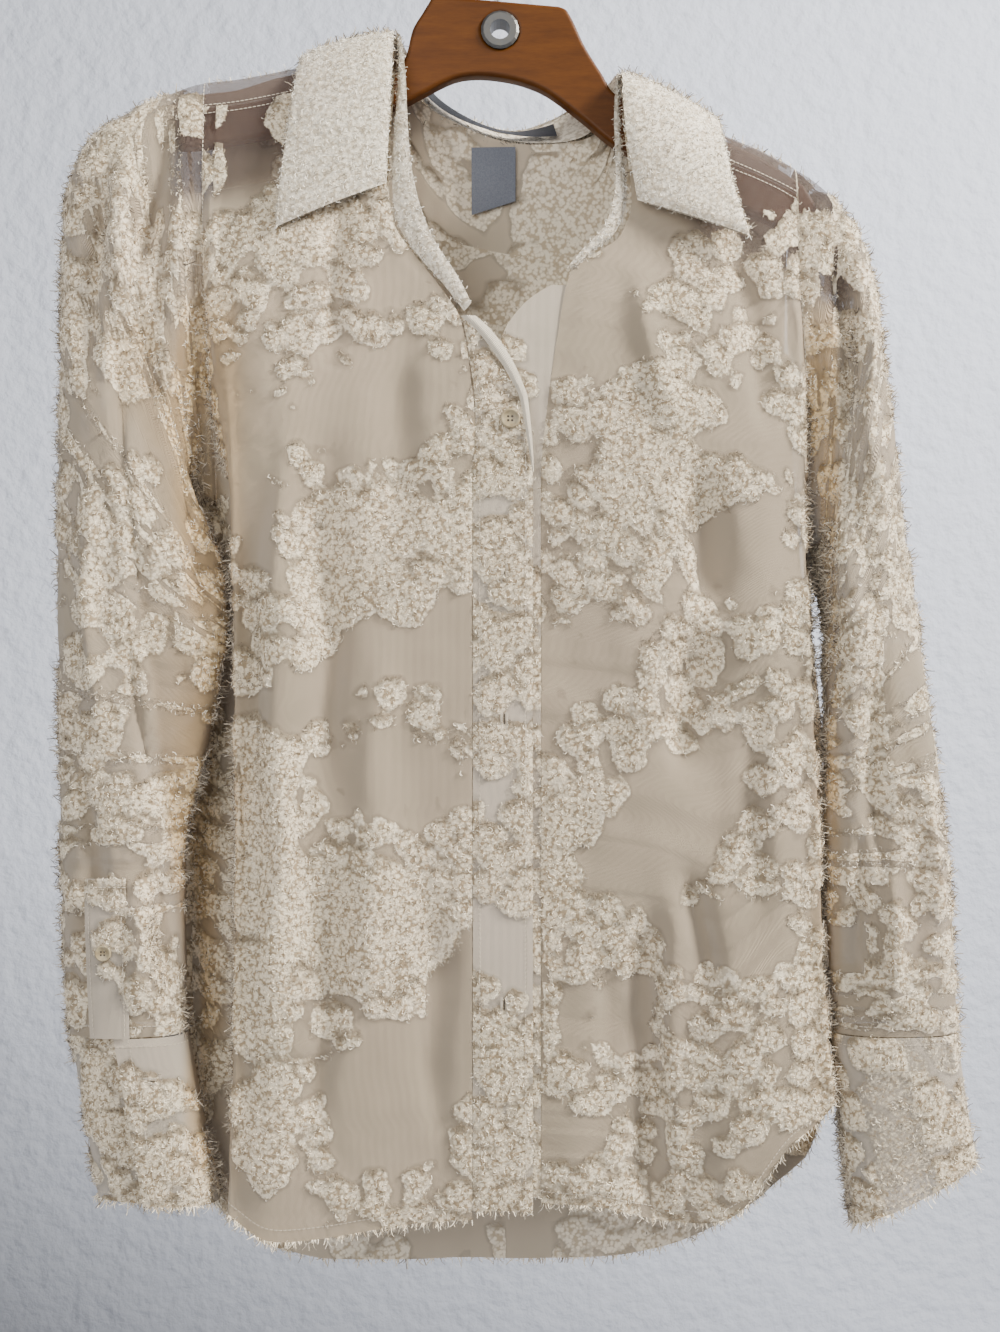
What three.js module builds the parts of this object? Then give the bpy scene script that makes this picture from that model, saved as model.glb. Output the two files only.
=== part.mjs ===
// A button-down shirt on a wooden hanger, in millimetres.
// +Z is up, +X is to the viewer's right, and the front of the shirt faces -Y.
// The origin is the inside of the top of the hook, where the hanger hangs on a rail.
import * as THREE from "three";

// Driving sizes of the cloth
const WALL = 2.0;
const SEAM_GAP = 0.3;
const YOKE_FRONT = 20;
const YOKE_BACK = 105;
const CUFF_WALL = 2.2;
const BUTTON_RADIUS = 5.75;
const BUTTON_HEIGHT = 2.4;
const SMALL_BUTTON_RADIUS = 4.75;
const SMALL_BUTTON_HEIGHT = 2;
const BAND_WALL = 1.4;
const BAND_LIFT = 0.6;

// Driving sizes of the hanger
const WOOD_THICKNESS = 11;
const WOOD_EDGE = 2.5;
const EYELET_X = -8;
const EYELET_Z = -77.5;
const EYELET_RADIUS = 11.4;
const EYELET_HOLE = 6;
const WIRE_RADIUS = 1.75;

const COLOURS = {
  cloth: 0xd9cdb8,
  band: 0xdfd4c2,
  collar: 0xe6dfd2,
  button: 0xa39a82,
  label: 0x26262c,
  wood: 0x7a4318,
  metal: 0x8e9296,
};

// The top of the shoulders, seen from the front, from the left armhole to the right one
const RIDGE = [
  { x: -270, z: -152 },
  { x: -188, z: -108 },
  { x: -164, z: -105 },
  { x: -128, z: -98 },
  { x: -70, z: -86 },
  { x: -3, z: -97 },
  { x: 64, z: -110 },
  { x: 88, z: -117 },
  { x: 123, z: -137 },
  { x: 148, z: -148 },
  { x: 172, z: -161 },
  { x: 230, z: -215 },
];

// How far the cloth stands from the hanger's mid-plane, by its drop below the shoulder ridge
const FRONT_DEPTH = [
  { drop: 0, y: 0 },
  { drop: 1.5, y: -4.5 },
  { drop: 5, y: -8.6 },
  { drop: 11, y: -11 },
  { drop: 20, y: -12.8 },
  { drop: 60, y: -20 },
  { drop: 120, y: -27 },
  { drop: 200, y: -32 },
  { drop: 330, y: -34 },
  { drop: 720, y: -34 },
];
const BACK_DEPTH = [
  { drop: 0, y: 0 },
  { drop: 1.5, y: 4.5 },
  { drop: 5, y: 8.6 },
  { drop: 11, y: 11.5 },
  { drop: 20, y: 14 },
  { drop: 60, y: 22 },
  { drop: 105, y: 28 },
  { drop: 200, y: 34 },
  { drop: 400, y: 38 },
  { drop: 760, y: 38 },
];

function mix(a, b, t) {
  return a + (b - a) * t;
}

function smooth(t) {
  const s = Math.min(1, Math.max(0, t));
  return s * s * (3 - 2 * s);
}

// Reads one column of a table at a place along another, smoothly and without overshoot
function read(rows, along, column, at) {
  const rising = rows[rows.length - 1][along] > rows[0][along];
  let i = 0;
  while (i < rows.length - 2 && (rising ? at > rows[i + 1][along] : at < rows[i + 1][along])) i += 1;
  const width = rows[i + 1][along] - rows[i][along];
  const t = Math.min(1, Math.max(0, (at - rows[i][along]) / width));
  const slope = (j) => {
    if (j <= 0 || j >= rows.length - 1) return slopeOf(Math.min(Math.max(j, 1), rows.length - 1));
    const before = slopeOf(j);
    const after = slopeOf(j + 1);
    return before * after <= 0 ? 0 : (2 * before * after) / (before + after);
  };
  const slopeOf = (j) =>
    (rows[j][column] - rows[j - 1][column]) / (rows[j][along] - rows[j - 1][along]);
  const a = rows[i][column];
  const b = rows[i + 1][column];
  const h00 = (1 + 2 * t) * (1 - t) * (1 - t);
  const h10 = t * (1 - t) * (1 - t);
  const h01 = t * t * (3 - 2 * t);
  const h11 = t * t * (t - 1);
  return h00 * a + h10 * width * slope(i) + h01 * b + h11 * width * slope(i + 1);
}

const ridge = (x) => read(RIDGE, "x", "z", x);
const frontDepth = (drop) => read(FRONT_DEPTH, "drop", "y", drop);
const backDepth = (drop) => read(BACK_DEPTH, "drop", "y", drop);

// Makes a grid of points from a function of two shares, both from 0 to 1
function grid(across, down, point) {
  const shares = Array.from({ length: down + 1 }, (_, j) => j / down);
  return gridAt(across, shares, point);
}

// The same, with the shares of its rows given
function gridAt(across, shares, point) {
  return shares.map((v) => Array.from({ length: across + 1 }, (_, i) => point(i / across, v)));
}

// Moves each point of a grid out of its surface
function lifted(rows, distance) {
  const out = normals(rows, false);
  return rows.map((row, j) => row.map((p, i) => p.clone().addScaledVector(out[j][i], distance)));
}

function normals(rows, closed) {
  const last = rows[0].length - 1;
  return rows.map((row, j) =>
    row.map((p, i) => {
      const left = closed && i === 0 ? row[last - 1] : row[Math.max(i - 1, 0)];
      const right = closed && i === last ? row[1] : row[Math.min(i + 1, last)];
      const above = rows[Math.max(j - 1, 0)][i];
      const below = rows[Math.min(j + 1, rows.length - 1)][i];
      return right.clone().sub(left).cross(below.clone().sub(above)).normalize();
    }),
  );
}

// Turns a grid of outer points into one closed wall; a closed one is a tube round its first axis
function wall(rows, thickness, closed = false) {
  const out = normals(rows, closed);
  const wide = closed ? rows[0].length - 1 : rows[0].length;
  const high = rows.length;
  const points = [];
  for (const depth of [0, thickness]) {
    for (let j = 0; j < high; j += 1) {
      for (let i = 0; i < wide; i += 1) points.push(rows[j][i].clone().addScaledVector(out[j][i], -depth));
    }
  }
  const faces = [];
  const at = (side, j, i) => side * wide * high + j * wide + (i % wide);
  const quad = (a, b, c, d) => faces.push(a, b, c, a, c, d);
  const steps = closed ? wide : wide - 1;
  for (let j = 0; j < high - 1; j += 1) {
    for (let i = 0; i < steps; i += 1) {
      quad(at(0, j, i), at(0, j, i + 1), at(0, j + 1, i + 1), at(0, j + 1, i));
      quad(at(1, j, i), at(1, j + 1, i), at(1, j + 1, i + 1), at(1, j, i + 1));
    }
  }
  for (let i = 0; i < steps; i += 1) {
    quad(at(0, 0, i), at(1, 0, i), at(1, 0, i + 1), at(0, 0, i + 1));
    quad(at(0, high - 1, i), at(0, high - 1, i + 1), at(1, high - 1, i + 1), at(1, high - 1, i));
  }
  if (!closed) {
    for (let j = 0; j < high - 1; j += 1) {
      quad(at(0, j, 0), at(0, j + 1, 0), at(1, j + 1, 0), at(1, j, 0));
      quad(at(0, j, wide - 1), at(1, j, wide - 1), at(1, j + 1, wide - 1), at(0, j + 1, wide - 1));
    }
  }
  return solid(points, faces);
}

// Turns the faces round where they would face inwards
function solid(points, faces) {
  let volume = 0;
  for (let i = 0; i < faces.length; i += 3) {
    const [a, b, c] = [0, 1, 2].map((k) => points[faces[i + k]]);
    volume += a.dot(b.clone().cross(c)) / 6;
  }
  const geometry = new THREE.BufferGeometry();
  geometry.setAttribute(
    "position",
    new THREE.Float32BufferAttribute(points.flatMap((p) => [p.x, p.y, p.z]), 3),
  );
  geometry.setIndex(volume < 0 ? faces.toReversed() : faces);
  geometry.computeVertexNormals();
  return geometry;
}

const shirt = new THREE.Group();

function add(name, geometry, color, roughness = 0.85, metalness = 0) {
  const mesh = new THREE.Mesh(geometry, new THREE.MeshStandardMaterial({ color, roughness, metalness }));
  mesh.name = name;
  shirt.add(mesh);
  return mesh;
}

// The wooden body of the hanger, seen from the front: its lower edge is arched over the neck
const HEAD_LEFT = [
  { x: -82, z: -98 },
  { x: -71, z: -103 },
  { x: -65, z: -94 },
  { x: -60, z: -76 },
  { x: -48, z: -56 },
];
const HEAD_RIGHT = [
  { x: 29, z: -63 },
  { x: 34, z: -68 },
  { x: 43, z: -87 },
  { x: 53, z: -103 },
  { x: 56, z: -118 },
];
const ARM_TOP_DROP = 4.6;
const ARM_END_DROP = 3;
const LEFT_ARM_TOP = [-216, -200, -164, -128, -90];
const RIGHT_ARM_TOP = [80, 95, 123, 150, 174];
const ARM_BOTTOM = [
  { x: 183, z: -188 },
  { x: 178, z: -196 },
  { x: 168, z: -197 },
  { x: 123, z: -176 },
  { x: 61, z: -146 },
  { x: 40, z: -129 },
  { x: 16, z: -112 },
  { x: -8, z: -105 },
  { x: -32, z: -105 },
  { x: -56, z: -116 },
  { x: -66, z: -121 },
  { x: -128, z: -136 },
  { x: -200, z: -147 },
  { x: -214, z: -143 },
  { x: -220, z: -132 },
];

function buildHanger() {
  const endDrop = (x) => ARM_END_DROP * smooth((Math.abs(x) - 140) / 30);
  const armTop = (x) => new THREE.Vector2(x, ridge(x) - ARM_TOP_DROP - endDrop(x));
  const plain = ({ x, z }) => new THREE.Vector2(x, z);
  const outline = new THREE.Shape();
  const left = [...LEFT_ARM_TOP.map(armTop), ...HEAD_LEFT.map(plain)];
  const right = [...HEAD_RIGHT.map(plain), ...RIGHT_ARM_TOP.map(armTop)];
  outline.setFromPoints([...left, ...right, ...ARM_BOTTOM.map(plain)]);
  const hole = new THREE.Path();
  hole.absarc(EYELET_X, EYELET_Z, EYELET_HOLE + SEAM_GAP + 1.8, 0, 2 * Math.PI);
  outline.holes.push(hole);
  const wood = new THREE.ExtrudeGeometry(outline, {
    depth: WOOD_THICKNESS - 2 * WOOD_EDGE,
    bevelThickness: WOOD_EDGE,
    bevelSize: WOOD_EDGE,
    bevelOffset: -WOOD_EDGE,
    bevelSegments: 2,
    curveSegments: 12,
  });
  wood.translate(0, 0, WOOD_EDGE - WOOD_THICKNESS / 2);
  wood.rotateX(Math.PI / 2);
  add("hanger_wood", wood, COLOURS.wood, 0.35);
  buildEyelet();
  buildHook();
}

function buildEyelet() {
  const face = WOOD_THICKNESS / 2 + SEAM_GAP;
  const lip = 1.6;
  const neck = EYELET_HOLE + 1.7;
  const profile = [
    [EYELET_HOLE, -face - lip],
    [EYELET_RADIUS - 1.5, -face - lip],
    [EYELET_RADIUS, -face - 0.5],
    [EYELET_RADIUS, -face],
    [neck, -face],
    [neck, face],
    [EYELET_RADIUS, face],
    [EYELET_RADIUS, face + 0.5],
    [EYELET_RADIUS - 1.5, face + lip],
    [EYELET_HOLE, face + lip],
    [EYELET_HOLE, -face - lip],
  ].map(([r, h]) => new THREE.Vector2(r, h));
  const eyelet = new THREE.LatheGeometry(profile, 18);
  eyelet.translate(EYELET_X, 0, EYELET_Z);
  add("hanger_eyelet", eyelet, COLOURS.metal, 0.35, 0.9);
}

// The shank leans with the hanger and ends in a question mark over the rail
const HOOK_RADIUS = 19;
const SHANK = [
  { x: -9.8, z: -58.95 },
  { x: -8.4, z: -48 },
  { x: 2, z: -40.5 },
];
const HOOK_START = -58;
const HOOK_END = 196;
const HOOK_STEPS = 9;

function buildHook() {
  const middle = HOOK_RADIUS + WIRE_RADIUS;
  const route = SHANK.map(({ x, z }) => new THREE.Vector3(x, 0, z));
  for (let i = 0; i <= HOOK_STEPS; i += 1) {
    const angle = THREE.MathUtils.degToRad(mix(HOOK_START, HOOK_END, i / HOOK_STEPS));
    route.push(new THREE.Vector3(middle * Math.cos(angle), 0, middle * Math.sin(angle) - HOOK_RADIUS));
  }
  const section = new THREE.Shape();
  section.absarc(0, 0, WIRE_RADIUS, 0, 2 * Math.PI);
  const hook = new THREE.ExtrudeGeometry(section, {
    steps: 34,
    curveSegments: 4,
    extrudePath: new THREE.CatmullRomCurve3(route),
  });
  add("hanger_hook", hook, COLOURS.metal, 0.25, 1);
}

// The armhole seams, and the side seams below them. The front is folded back at fold, turns at
// mid and ends at end; the back ends at back. Each row is one height.
const LEFT_SIDE = [
  { z: -108, fold: -172, midX: -178, midY: -12.8, endX: -183.6, endY: -12.8, backX: -184, backY: 14 },
  { z: -128, fold: -172, midX: -178, midY: -12.8, endX: -183.6, endY: -12.8, backX: -184, backY: 16 },
  { z: -170, fold: -172, midX: -178, midY: -20, endX: -183, endY: -18.5, backX: -184, backY: 22.5 },
  { z: -222, fold: -171, midX: -177.5, midY: -25, endX: -182, endY: -20, backX: -184, backY: 27.5 },
  { z: -270, fold: -169, midX: -176, midY: -24, endX: -180, endY: -15, backX: -183, backY: 27 },
  { z: -320, fold: -166, midX: -172, midY: -18, endX: -179, endY: -4, backX: -183, backY: 24 },
  { z: -362, fold: -164, midX: -166, midY: -4, endX: -182, endY: 17, backX: -183, backY: 22.5 },
  { z: -420, fold: -162, midX: -163, midY: 2, endX: -192, endY: 20, backX: -192, backY: 25.4 },
  { z: -535, fold: -161, midX: -163, midY: 4, endX: -197, endY: 20, backX: -197, backY: 24.6 },
  { z: -650, fold: -162, midX: -163, midY: 4, endX: -197, endY: 20, backX: -197, backY: 24.6 },
  { z: -745, fold: -166, midX: -165, midY: -4, endX: -188, endY: 15, backX: -188, backY: 19.6 },
];
const RIGHT_SIDE = [
  { z: -160, fold: 157, midX: 162, midY: -12.8, endX: 167.6, endY: -12.8, backX: 168, backY: 14 },
  { z: -181, fold: 157, midX: 162, midY: -12.8, endX: 167.6, endY: -12.8, backX: 168, backY: 16 },
  { z: -215, fold: 158, midX: 163.5, midY: -19, endX: 168, endY: -17.5, backX: 168.5, backY: 21 },
  { z: -270, fold: 162, midX: 167, midY: -24, endX: 171, endY: -19, backX: 171, backY: 27 },
  { z: -330, fold: 166, midX: 170, midY: -22, endX: 174, endY: -12, backX: 174, backY: 26.5 },
  { z: -375, fold: 169, midX: 172, midY: -12, endX: 176, endY: 2, backX: 177, backY: 22 },
  { z: -406, fold: 170.5, midX: 172, midY: -6, endX: 180, endY: 14, backX: 180, backY: 20 },
  { z: -470, fold: 173, midX: 173, midY: 0, endX: 188, endY: 20, backX: 188, backY: 24.6 },
  { z: -535, fold: 177, midX: 176, midY: 2, endX: 193, endY: 20, backX: 193, backY: 24.6 },
  { z: -600, fold: 179, midX: 178, midY: 2, endX: 195, endY: 20, backX: 195, backY: 24.6 },
  { z: -655, fold: 182, midX: 181, midY: 0, endX: 195, endY: 18, backX: 195, backY: 22.6 },
  { z: -712, fold: 187, midX: 186, midY: -6, endX: 193, endY: 10, backX: 193, backY: 14.6 },
];

// The front edge of each front: the neckline, then the seam of its band
const LEFT_NECK = [
  { z: -106, x: -70 },
  { z: -176, x: -73 },
  { z: -201, x: -69 },
  { z: -216, x: -59 },
  { z: -236, x: -42 },
  { z: -252, x: -31 },
  { z: -285, x: -25 },
  { z: -312, x: -22.5 },
  { z: -350, x: -24 },
  { z: -780, x: -24 },
];
const RIGHT_NECK = [
  { z: -130, x: 64 },
  { z: -185, x: 69 },
  { z: -207, x: 62 },
  { z: -219, x: 49 },
  { z: -234, x: 33 },
  { z: -268, x: 26 },
  { z: -326, x: 18 },
  { z: -350, x: 16 },
  { z: -770, x: 16 },
];
const FRONT_HEM = [
  { x: -200, z: -742 },
  { x: -180, z: -756 },
  { x: -166, z: -775 },
  { x: -141, z: -789 },
  { x: -110, z: -788 },
  { x: -66, z: -780 },
  { x: -24, z: -777 },
  { x: 12, z: -769 },
  { x: 50, z: -770 },
  { x: 84, z: -774 },
  { x: 92, z: -789 },
  { x: 108, z: -787 },
  { x: 131, z: -770 },
  { x: 150, z: -742 },
  { x: 176, z: -723 },
  { x: 188, z: -708 },
  { x: 196, z: -700 },
];
const BACK_HEM = [
  { x: -198, z: -742 },
  { x: -185, z: -786 },
  { x: -171, z: -806 },
  { x: -150, z: -820 },
  { x: -114, z: -828 },
  { x: -40, z: -829 },
  { x: 60, z: -826 },
  { x: 92, z: -821 },
  { x: 145, z: -796 },
  { x: 180, z: -760 },
  { x: 196, z: -704 },
];

// Soft folds that run down the fronts: place across, where they start and end, depth and width
const FRONT_FOLDS = [
  { x: -96, top: -300, bottom: -640, deep: 2.5, wide: 22 },
  { x: -60, top: -420, bottom: -770, deep: 2, wide: 18 },
  { x: 112, top: -330, bottom: -560, deep: 5, wide: 18 },
  { x: 88, top: -560, bottom: -800, deep: 9, wide: 13 },
  { x: 140, top: -400, bottom: -720, deep: -3, wide: 20 },
  { x: 52, top: -380, bottom: -700, deep: 2.5, wide: 20 },
];
const BACK_FOLDS = [
  { x: -105, top: -330, bottom: -800, deep: 5, wide: 24 },
  { x: -30, top: -420, bottom: -830, deep: -4, wide: 26 },
  { x: 48, top: -300, bottom: -800, deep: 6, wide: 22 },
  { x: 120, top: -420, bottom: -780, deep: 4, wide: 20 },
];

function foldDepth(folds, x, z) {
  let depth = 0;
  for (const fold of folds) {
    const along = smooth((fold.top - z) / 90) * smooth((z - fold.bottom) / 40 + 1);
    const away = (x - fold.x) / fold.wide;
    depth += fold.deep * along * Math.exp(-away * away);
  }
  return depth;
}

// The under band and the edge of its front lie deeper, so that the buttons fit below the upper band
const BUTTON_ROOM = 5.6;
const roomBehind = (x) => BUTTON_ROOM * (1 - smooth((x - 18) / 44));
const frontSurface = (x, z) =>
  frontDepth(ridge(x) - z) + foldDepth(FRONT_FOLDS, x, z) * smooth((Math.abs(x) - 34) / 14);
const backSurface = (x, z) => backDepth(ridge(x) - z) - foldDepth(BACK_FOLDS, x, z);
const vector = (x, y, z) => new THREE.Vector3(x, y, z);

// Rows of the fronts lie closer together along the neckline
const FRONT_ROWS = [0, 0.03, 0.06, 0.09, 0.115, 0.135, 0.155, 0.18, 0.21, 0.25, 0.3]
  .concat([0.36, 0.43, 0.5, 0.58, 0.66, 0.74, 0.82, 0.9, 0.96, 1]);

// One front: from its front edge across to the fold, then back to the side seam
function frontPoint(side, neck, u, v) {
  const armTop = ridge(side[1].endX) - YOKE_FRONT;
  const armBottom = read(FRONT_HEM, "x", "z", side[side.length - 1].endX);
  const neckTop = ridge(neck[0].x) - YOKE_FRONT;
  const neckBottom = read(FRONT_HEM, "x", "z", neck[neck.length - 1].x);
  const sideZ = mix(armTop, armBottom, v);
  const startX = read(neck, "z", "x", mix(neckTop, neckBottom, v));
  const foldX = read(side, "z", "fold", sideZ);
  const turned = smooth(v / 0.3);
  const points = [];
  for (const share of [0, 0.2, 0.42, 0.64, 0.84, 0.96, 1]) {
    const x = mix(startX, foldX, share);
    const top = ridge(x) - YOKE_FRONT;
    const z = mix(top, read(FRONT_HEM, "x", "z", x), v);
    const lift = turned * 5 * smooth((share - 0.84) / 0.16);
    const room = neck === RIGHT_NECK ? roomBehind(x) : 0;
    points.push(vector(x, frontSurface(x, z) + lift + room, z));
  }
  for (const [xName, yName] of [["midX", "midY"], ["endX", "endY"]]) {
    const x = read(side, "z", xName, sideZ);
    const top = ridge(x) - YOKE_FRONT;
    const z = mix(top, read(FRONT_HEM, "x", "z", x), v);
    points.push(vector(x, read(side, "z", yName, sideZ), z));
  }
  return new THREE.CatmullRomCurve3(points).getPoint(u);
}

// The yoke goes over both shoulders and round behind the neck
const YOKE_NECK = [
  { share: 0, x: -183.6, over: -YOKE_FRONT },
  { share: 0.14, x: -140, over: -YOKE_FRONT },
  { share: 0.29, x: -72, over: -YOKE_FRONT },
  { share: 0.33, x: -70, over: -7 },
  { share: 0.37, x: -66, over: 12 },
  { share: 0.42, x: -48, over: 30 },
  { share: 0.5, x: -3, over: 39 },
  { share: 0.58, x: 42, over: 30 },
  { share: 0.63, x: 60, over: 12 },
  { share: 0.67, x: 64, over: -7 },
  { share: 0.71, x: 66, over: -YOKE_FRONT },
  { share: 0.86, x: 124, over: -YOKE_FRONT },
  { share: 1, x: 167.6, over: -YOKE_FRONT },
];

// Rows lie close together where the yoke bends over the hanger
const YOKE_ROWS = [0, 0.03, 0.055, 0.08, 0.115, 0.14, 0.15, 0.16, 0.17, 0.185, 0.21, 0.26, 0.4, 0.68, 1];

function yokePoint(u, v) {
  const edgeX = read(YOKE_NECK, "share", "x", u);
  const edgeOver = read(YOKE_NECK, "share", "over", u);
  const x = mix(edgeX, mix(-184, 168, u), smooth(v));
  const over = mix(edgeOver + 2 * SEAM_GAP, YOKE_BACK - 2 * SEAM_GAP, v);
  const depth = over < 0 ? frontDepth(-over) : backDepth(over);
  return vector(x, depth, ridge(x) - Math.abs(over));
}

function backPoint(u, v) {
  const leftZ = mix(ridge(-184) - YOKE_BACK, BACK_HEM[0].z, v);
  const rightZ = mix(ridge(168) - YOKE_BACK, BACK_HEM[BACK_HEM.length - 1].z, v);
  const leftX = read(LEFT_SIDE, "z", "backX", leftZ);
  const rightX = read(RIGHT_SIDE, "z", "backX", rightZ);
  const leftY = read(LEFT_SIDE, "z", "backY", leftZ);
  const rightY = read(RIGHT_SIDE, "z", "backY", rightZ);
  const x = mix(leftX, rightX, u);
  const z = mix(ridge(x) - YOKE_BACK, read(BACK_HEM, "x", "z", x), v);
  const inLeft = smooth((x - leftX) / 34);
  const inRight = smooth((rightX - x) / 34);
  const edgeY = x < 0 ? leftY : rightY;
  return vector(x, mix(edgeY, backSurface(x, z), inLeft * inRight), z);
}

function buildBody() {
  const leftFront = (u, v) => frontPoint(LEFT_SIDE, LEFT_NECK, u, v);
  const rightFront = (u, v) => frontPoint(RIGHT_SIDE, RIGHT_NECK, u, v);
  add("front_right", wall(gridAt(16, FRONT_ROWS, leftFront), WALL), COLOURS.cloth);
  add("front_left", wall(gridAt(16, FRONT_ROWS, (u, v) => rightFront(1 - u, v)), WALL), COLOURS.cloth);
  add("yoke", wall(gridAt(32, YOKE_ROWS, yokePoint), WALL), COLOURS.cloth);
  add("back", wall(grid(26, 15, backPoint), WALL), COLOURS.cloth);
}

// The collar stand rises from the neckline: low is its sewn edge and top its upper one.
// Rows run from the wearer's right front round the back of the neck to the left front.
const STAND = [
  { lowX: -28.8, lowY: -29.6, lowZ: -251, topX: -24.5, topY: -31, topZ: -246.5 },
  { lowX: -40.2, lowY: -29, lowZ: -236, topX: -32.5, topY: -31, topZ: -231 },
  { lowX: -57.2, lowY: -27.4, lowZ: -216, topX: -47, topY: -30, topZ: -208 },
  { lowX: -67.8, lowY: -25.8, lowZ: -198, topX: -55, topY: -28.5, topZ: -187 },
  { lowX: -71, lowY: -23.8, lowZ: -172, topX: -60, topY: -26.5, topZ: -163 },
  { lowX: -70.4, lowY: -20.6, lowZ: -146, topX: -62, topY: -23, topZ: -138 },
  { lowX: -68.8, lowY: -15.5, lowZ: -120, topX: -63.5, topY: -18, topZ: -110 },
  { lowX: -67.8, lowY: -9, lowZ: -93, topX: -66.5, topY: -11, topZ: -84 },
  { lowX: -68.4, lowY: 0, lowZ: -84, topX: -68.5, topY: 0, topZ: -78.5 },
  { lowX: -64.6, lowY: 11.6, lowZ: -97.5, topX: -64, topY: 14, topZ: -84 },
  { lowX: -47, lowY: 16, lowZ: -118.6, topX: -47, topY: 32, topZ: -104 },
  { lowX: -3, lowY: 17.6, lowZ: -135, topX: -3, topY: 41, topZ: -123 },
  { lowX: 41, lowY: 16, lowZ: -134, topX: 38, topY: 35, topZ: -110 },
  { lowX: 58.6, lowY: 11.6, lowZ: -120, topX: 57, topY: 13, topZ: -103.5 },
  { lowX: 61.8, lowY: 0, lowZ: -107.6, topX: 61.5, topY: 0, topZ: -102.5 },
  { lowX: 62, lowY: -9, lowZ: -117, topX: 60.5, topY: -11, topZ: -112 },
  { lowX: 62.6, lowY: -15, lowZ: -144, topX: 59, topY: -18, topZ: -136 },
  { lowX: 65.2, lowY: -18.6, lowZ: -166, topX: 59.5, topY: -22, topZ: -158 },
  { lowX: 66, lowY: -21.6, lowZ: -186, topX: 59, topY: -25, topZ: -180 },
  { lowX: 59.2, lowY: -22.8, lowZ: -203.5, topX: 53, topY: -26, topZ: -200 },
  { lowX: 46.2, lowY: -23, lowZ: -215, topX: 41, topY: -26, topZ: -213 },
  { lowX: 34.6, lowY: -23, lowZ: -225.5, topX: 31, topY: -26, topZ: -225 },
];

// The collar leaf falls from its fold to its free edge; the first and last rows are its points
const LEAF = [
  { foldX: -74, foldY: -28, foldZ: -176, edgeX: -137, edgeY: -31, edgeZ: -202 },
  { foldX: -73, foldY: -27, foldZ: -148, edgeX: -134, edgeY: -29, edgeZ: -170 },
  { foldX: -71.5, foldY: -24, foldZ: -112, edgeX: -130, edgeY: -24.5, edgeZ: -138 },
  { foldX: -71, foldY: -14, foldZ: -86, edgeX: -127, edgeY: -17.5, edgeZ: -112 },
  { foldX: -71.5, foldY: 0, foldZ: -77.5, edgeX: -124, edgeY: 0, edgeZ: -91 },
  { foldX: -68, foldY: 15, foldZ: -80, edgeX: -114, edgeY: 16, edgeZ: -104 },
  { foldX: -60, foldY: 28, foldZ: -91, edgeX: -98, edgeY: 29, edgeZ: -134 },
  { foldX: -46, foldY: 37, foldZ: -104, edgeX: -72, edgeY: 39, edgeZ: -158 },
  { foldX: -3, foldY: 45, foldZ: -119, edgeX: -3, edgeY: 47, edgeZ: -170 },
  { foldX: 22, foldY: 43, foldZ: -114, edgeX: 28, edgeY: 46, edgeZ: -168 },
  { foldX: 42, foldY: 37, foldZ: -105, edgeX: 62, edgeY: 40, edgeZ: -160 },
  { foldX: 57, foldY: 26, foldZ: -101, edgeX: 90, edgeY: 28, edgeZ: -150 },
  { foldX: 63.5, foldY: 14, foldZ: -100, edgeX: 108, edgeY: 17, edgeZ: -138 },
  { foldX: 65, foldY: 0, foldZ: -101, edgeX: 120, edgeY: 0, edgeZ: -128.5 },
  { foldX: 64.5, foldY: -14, foldZ: -110, edgeX: 123, edgeY: -18, edgeZ: -150 },
  { foldX: 65, foldY: -24, foldZ: -138, edgeX: 127, edgeY: -27, edgeZ: -176 },
  { foldX: 68.5, foldY: -27, foldZ: -165, edgeX: 131, edgeY: -31, edgeZ: -193 },
  { foldX: 72, foldY: -28, foldZ: -186, edgeX: 136, edgeY: -33, edgeZ: -208 },
];

// A sheet between two smooth lines through the first and second place of each row
function ribbon(rows, first, second) {
  const line = (name) =>
    new THREE.CatmullRomCurve3(rows.map((row) => vector(row[`${name}X`], row[`${name}Y`], row[`${name}Z`])));
  const start = line(first);
  const end = line(second);
  return (u, v) => start.getPoint(u).lerp(end.getPoint(u), v);
}

const standPoint = ribbon(STAND, "top", "low");
const leafPoint = ribbon(LEAF, "fold", "edge");
const LEAF_BULGE = 2.4;

function buildCollar() {
  add("collar_stand", wall(grid(42, 2, standPoint), WALL), COLOURS.collar);
  const [across, down] = [40, 4];
  const crowned = lifted(grid(across, down, leafPoint), LEAF_BULGE).map((row, j) =>
    row.map((p, i) => leafPoint(i / across, j / down).lerp(p, Math.sin((Math.PI * j) / down))),
  );
  add("collar_leaf", wall(crowned, WALL), COLOURS.collar);
  const inner = (u, v) => standPoint(mix(0.46, 0.555, u), mix(0.35, 0.92, v));
  add("label_main", wall(lifted(grid(6, 2, inner), -WALL - 4 * SEAM_GAP), 0.8), COLOURS.label);
  const care = (u, v) => {
    const x = mix(-25.5, 1.5, u);
    const z = mix(-139.5, mix(-179, -171, u), v);
    return vector(x, backDepth(ridge(x) - z) - WALL - 2 * SEAM_GAP, z);
  };
  add("label_care", wall(grid(3, 4, care), 0.8), COLOURS.label);
}

// The free edges of the two front bands
const BAND_EDGE = [
  { z: -252, x: -25 },
  { z: -262, x: -14 },
  { z: -279, x: -2 },
  { z: -291, x: 3.6 },
  { z: -303, x: 7.7 },
  { z: -349, x: 11 },
  { z: -780, x: 11 },
];
const UNDER_EDGE = [
  { z: -230, x: 28 },
  { z: -245, x: 6 },
  { z: -265, x: -7 },
  { z: -300, x: -14 },
  { z: -340, x: -19 },
  { z: -780, x: -19 },
];
const BAND_TOP = -254;
const BAND_BOTTOM = -772;
const UNDER_TOP = -234;
const UNDER_BOTTOM = -766;

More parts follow.
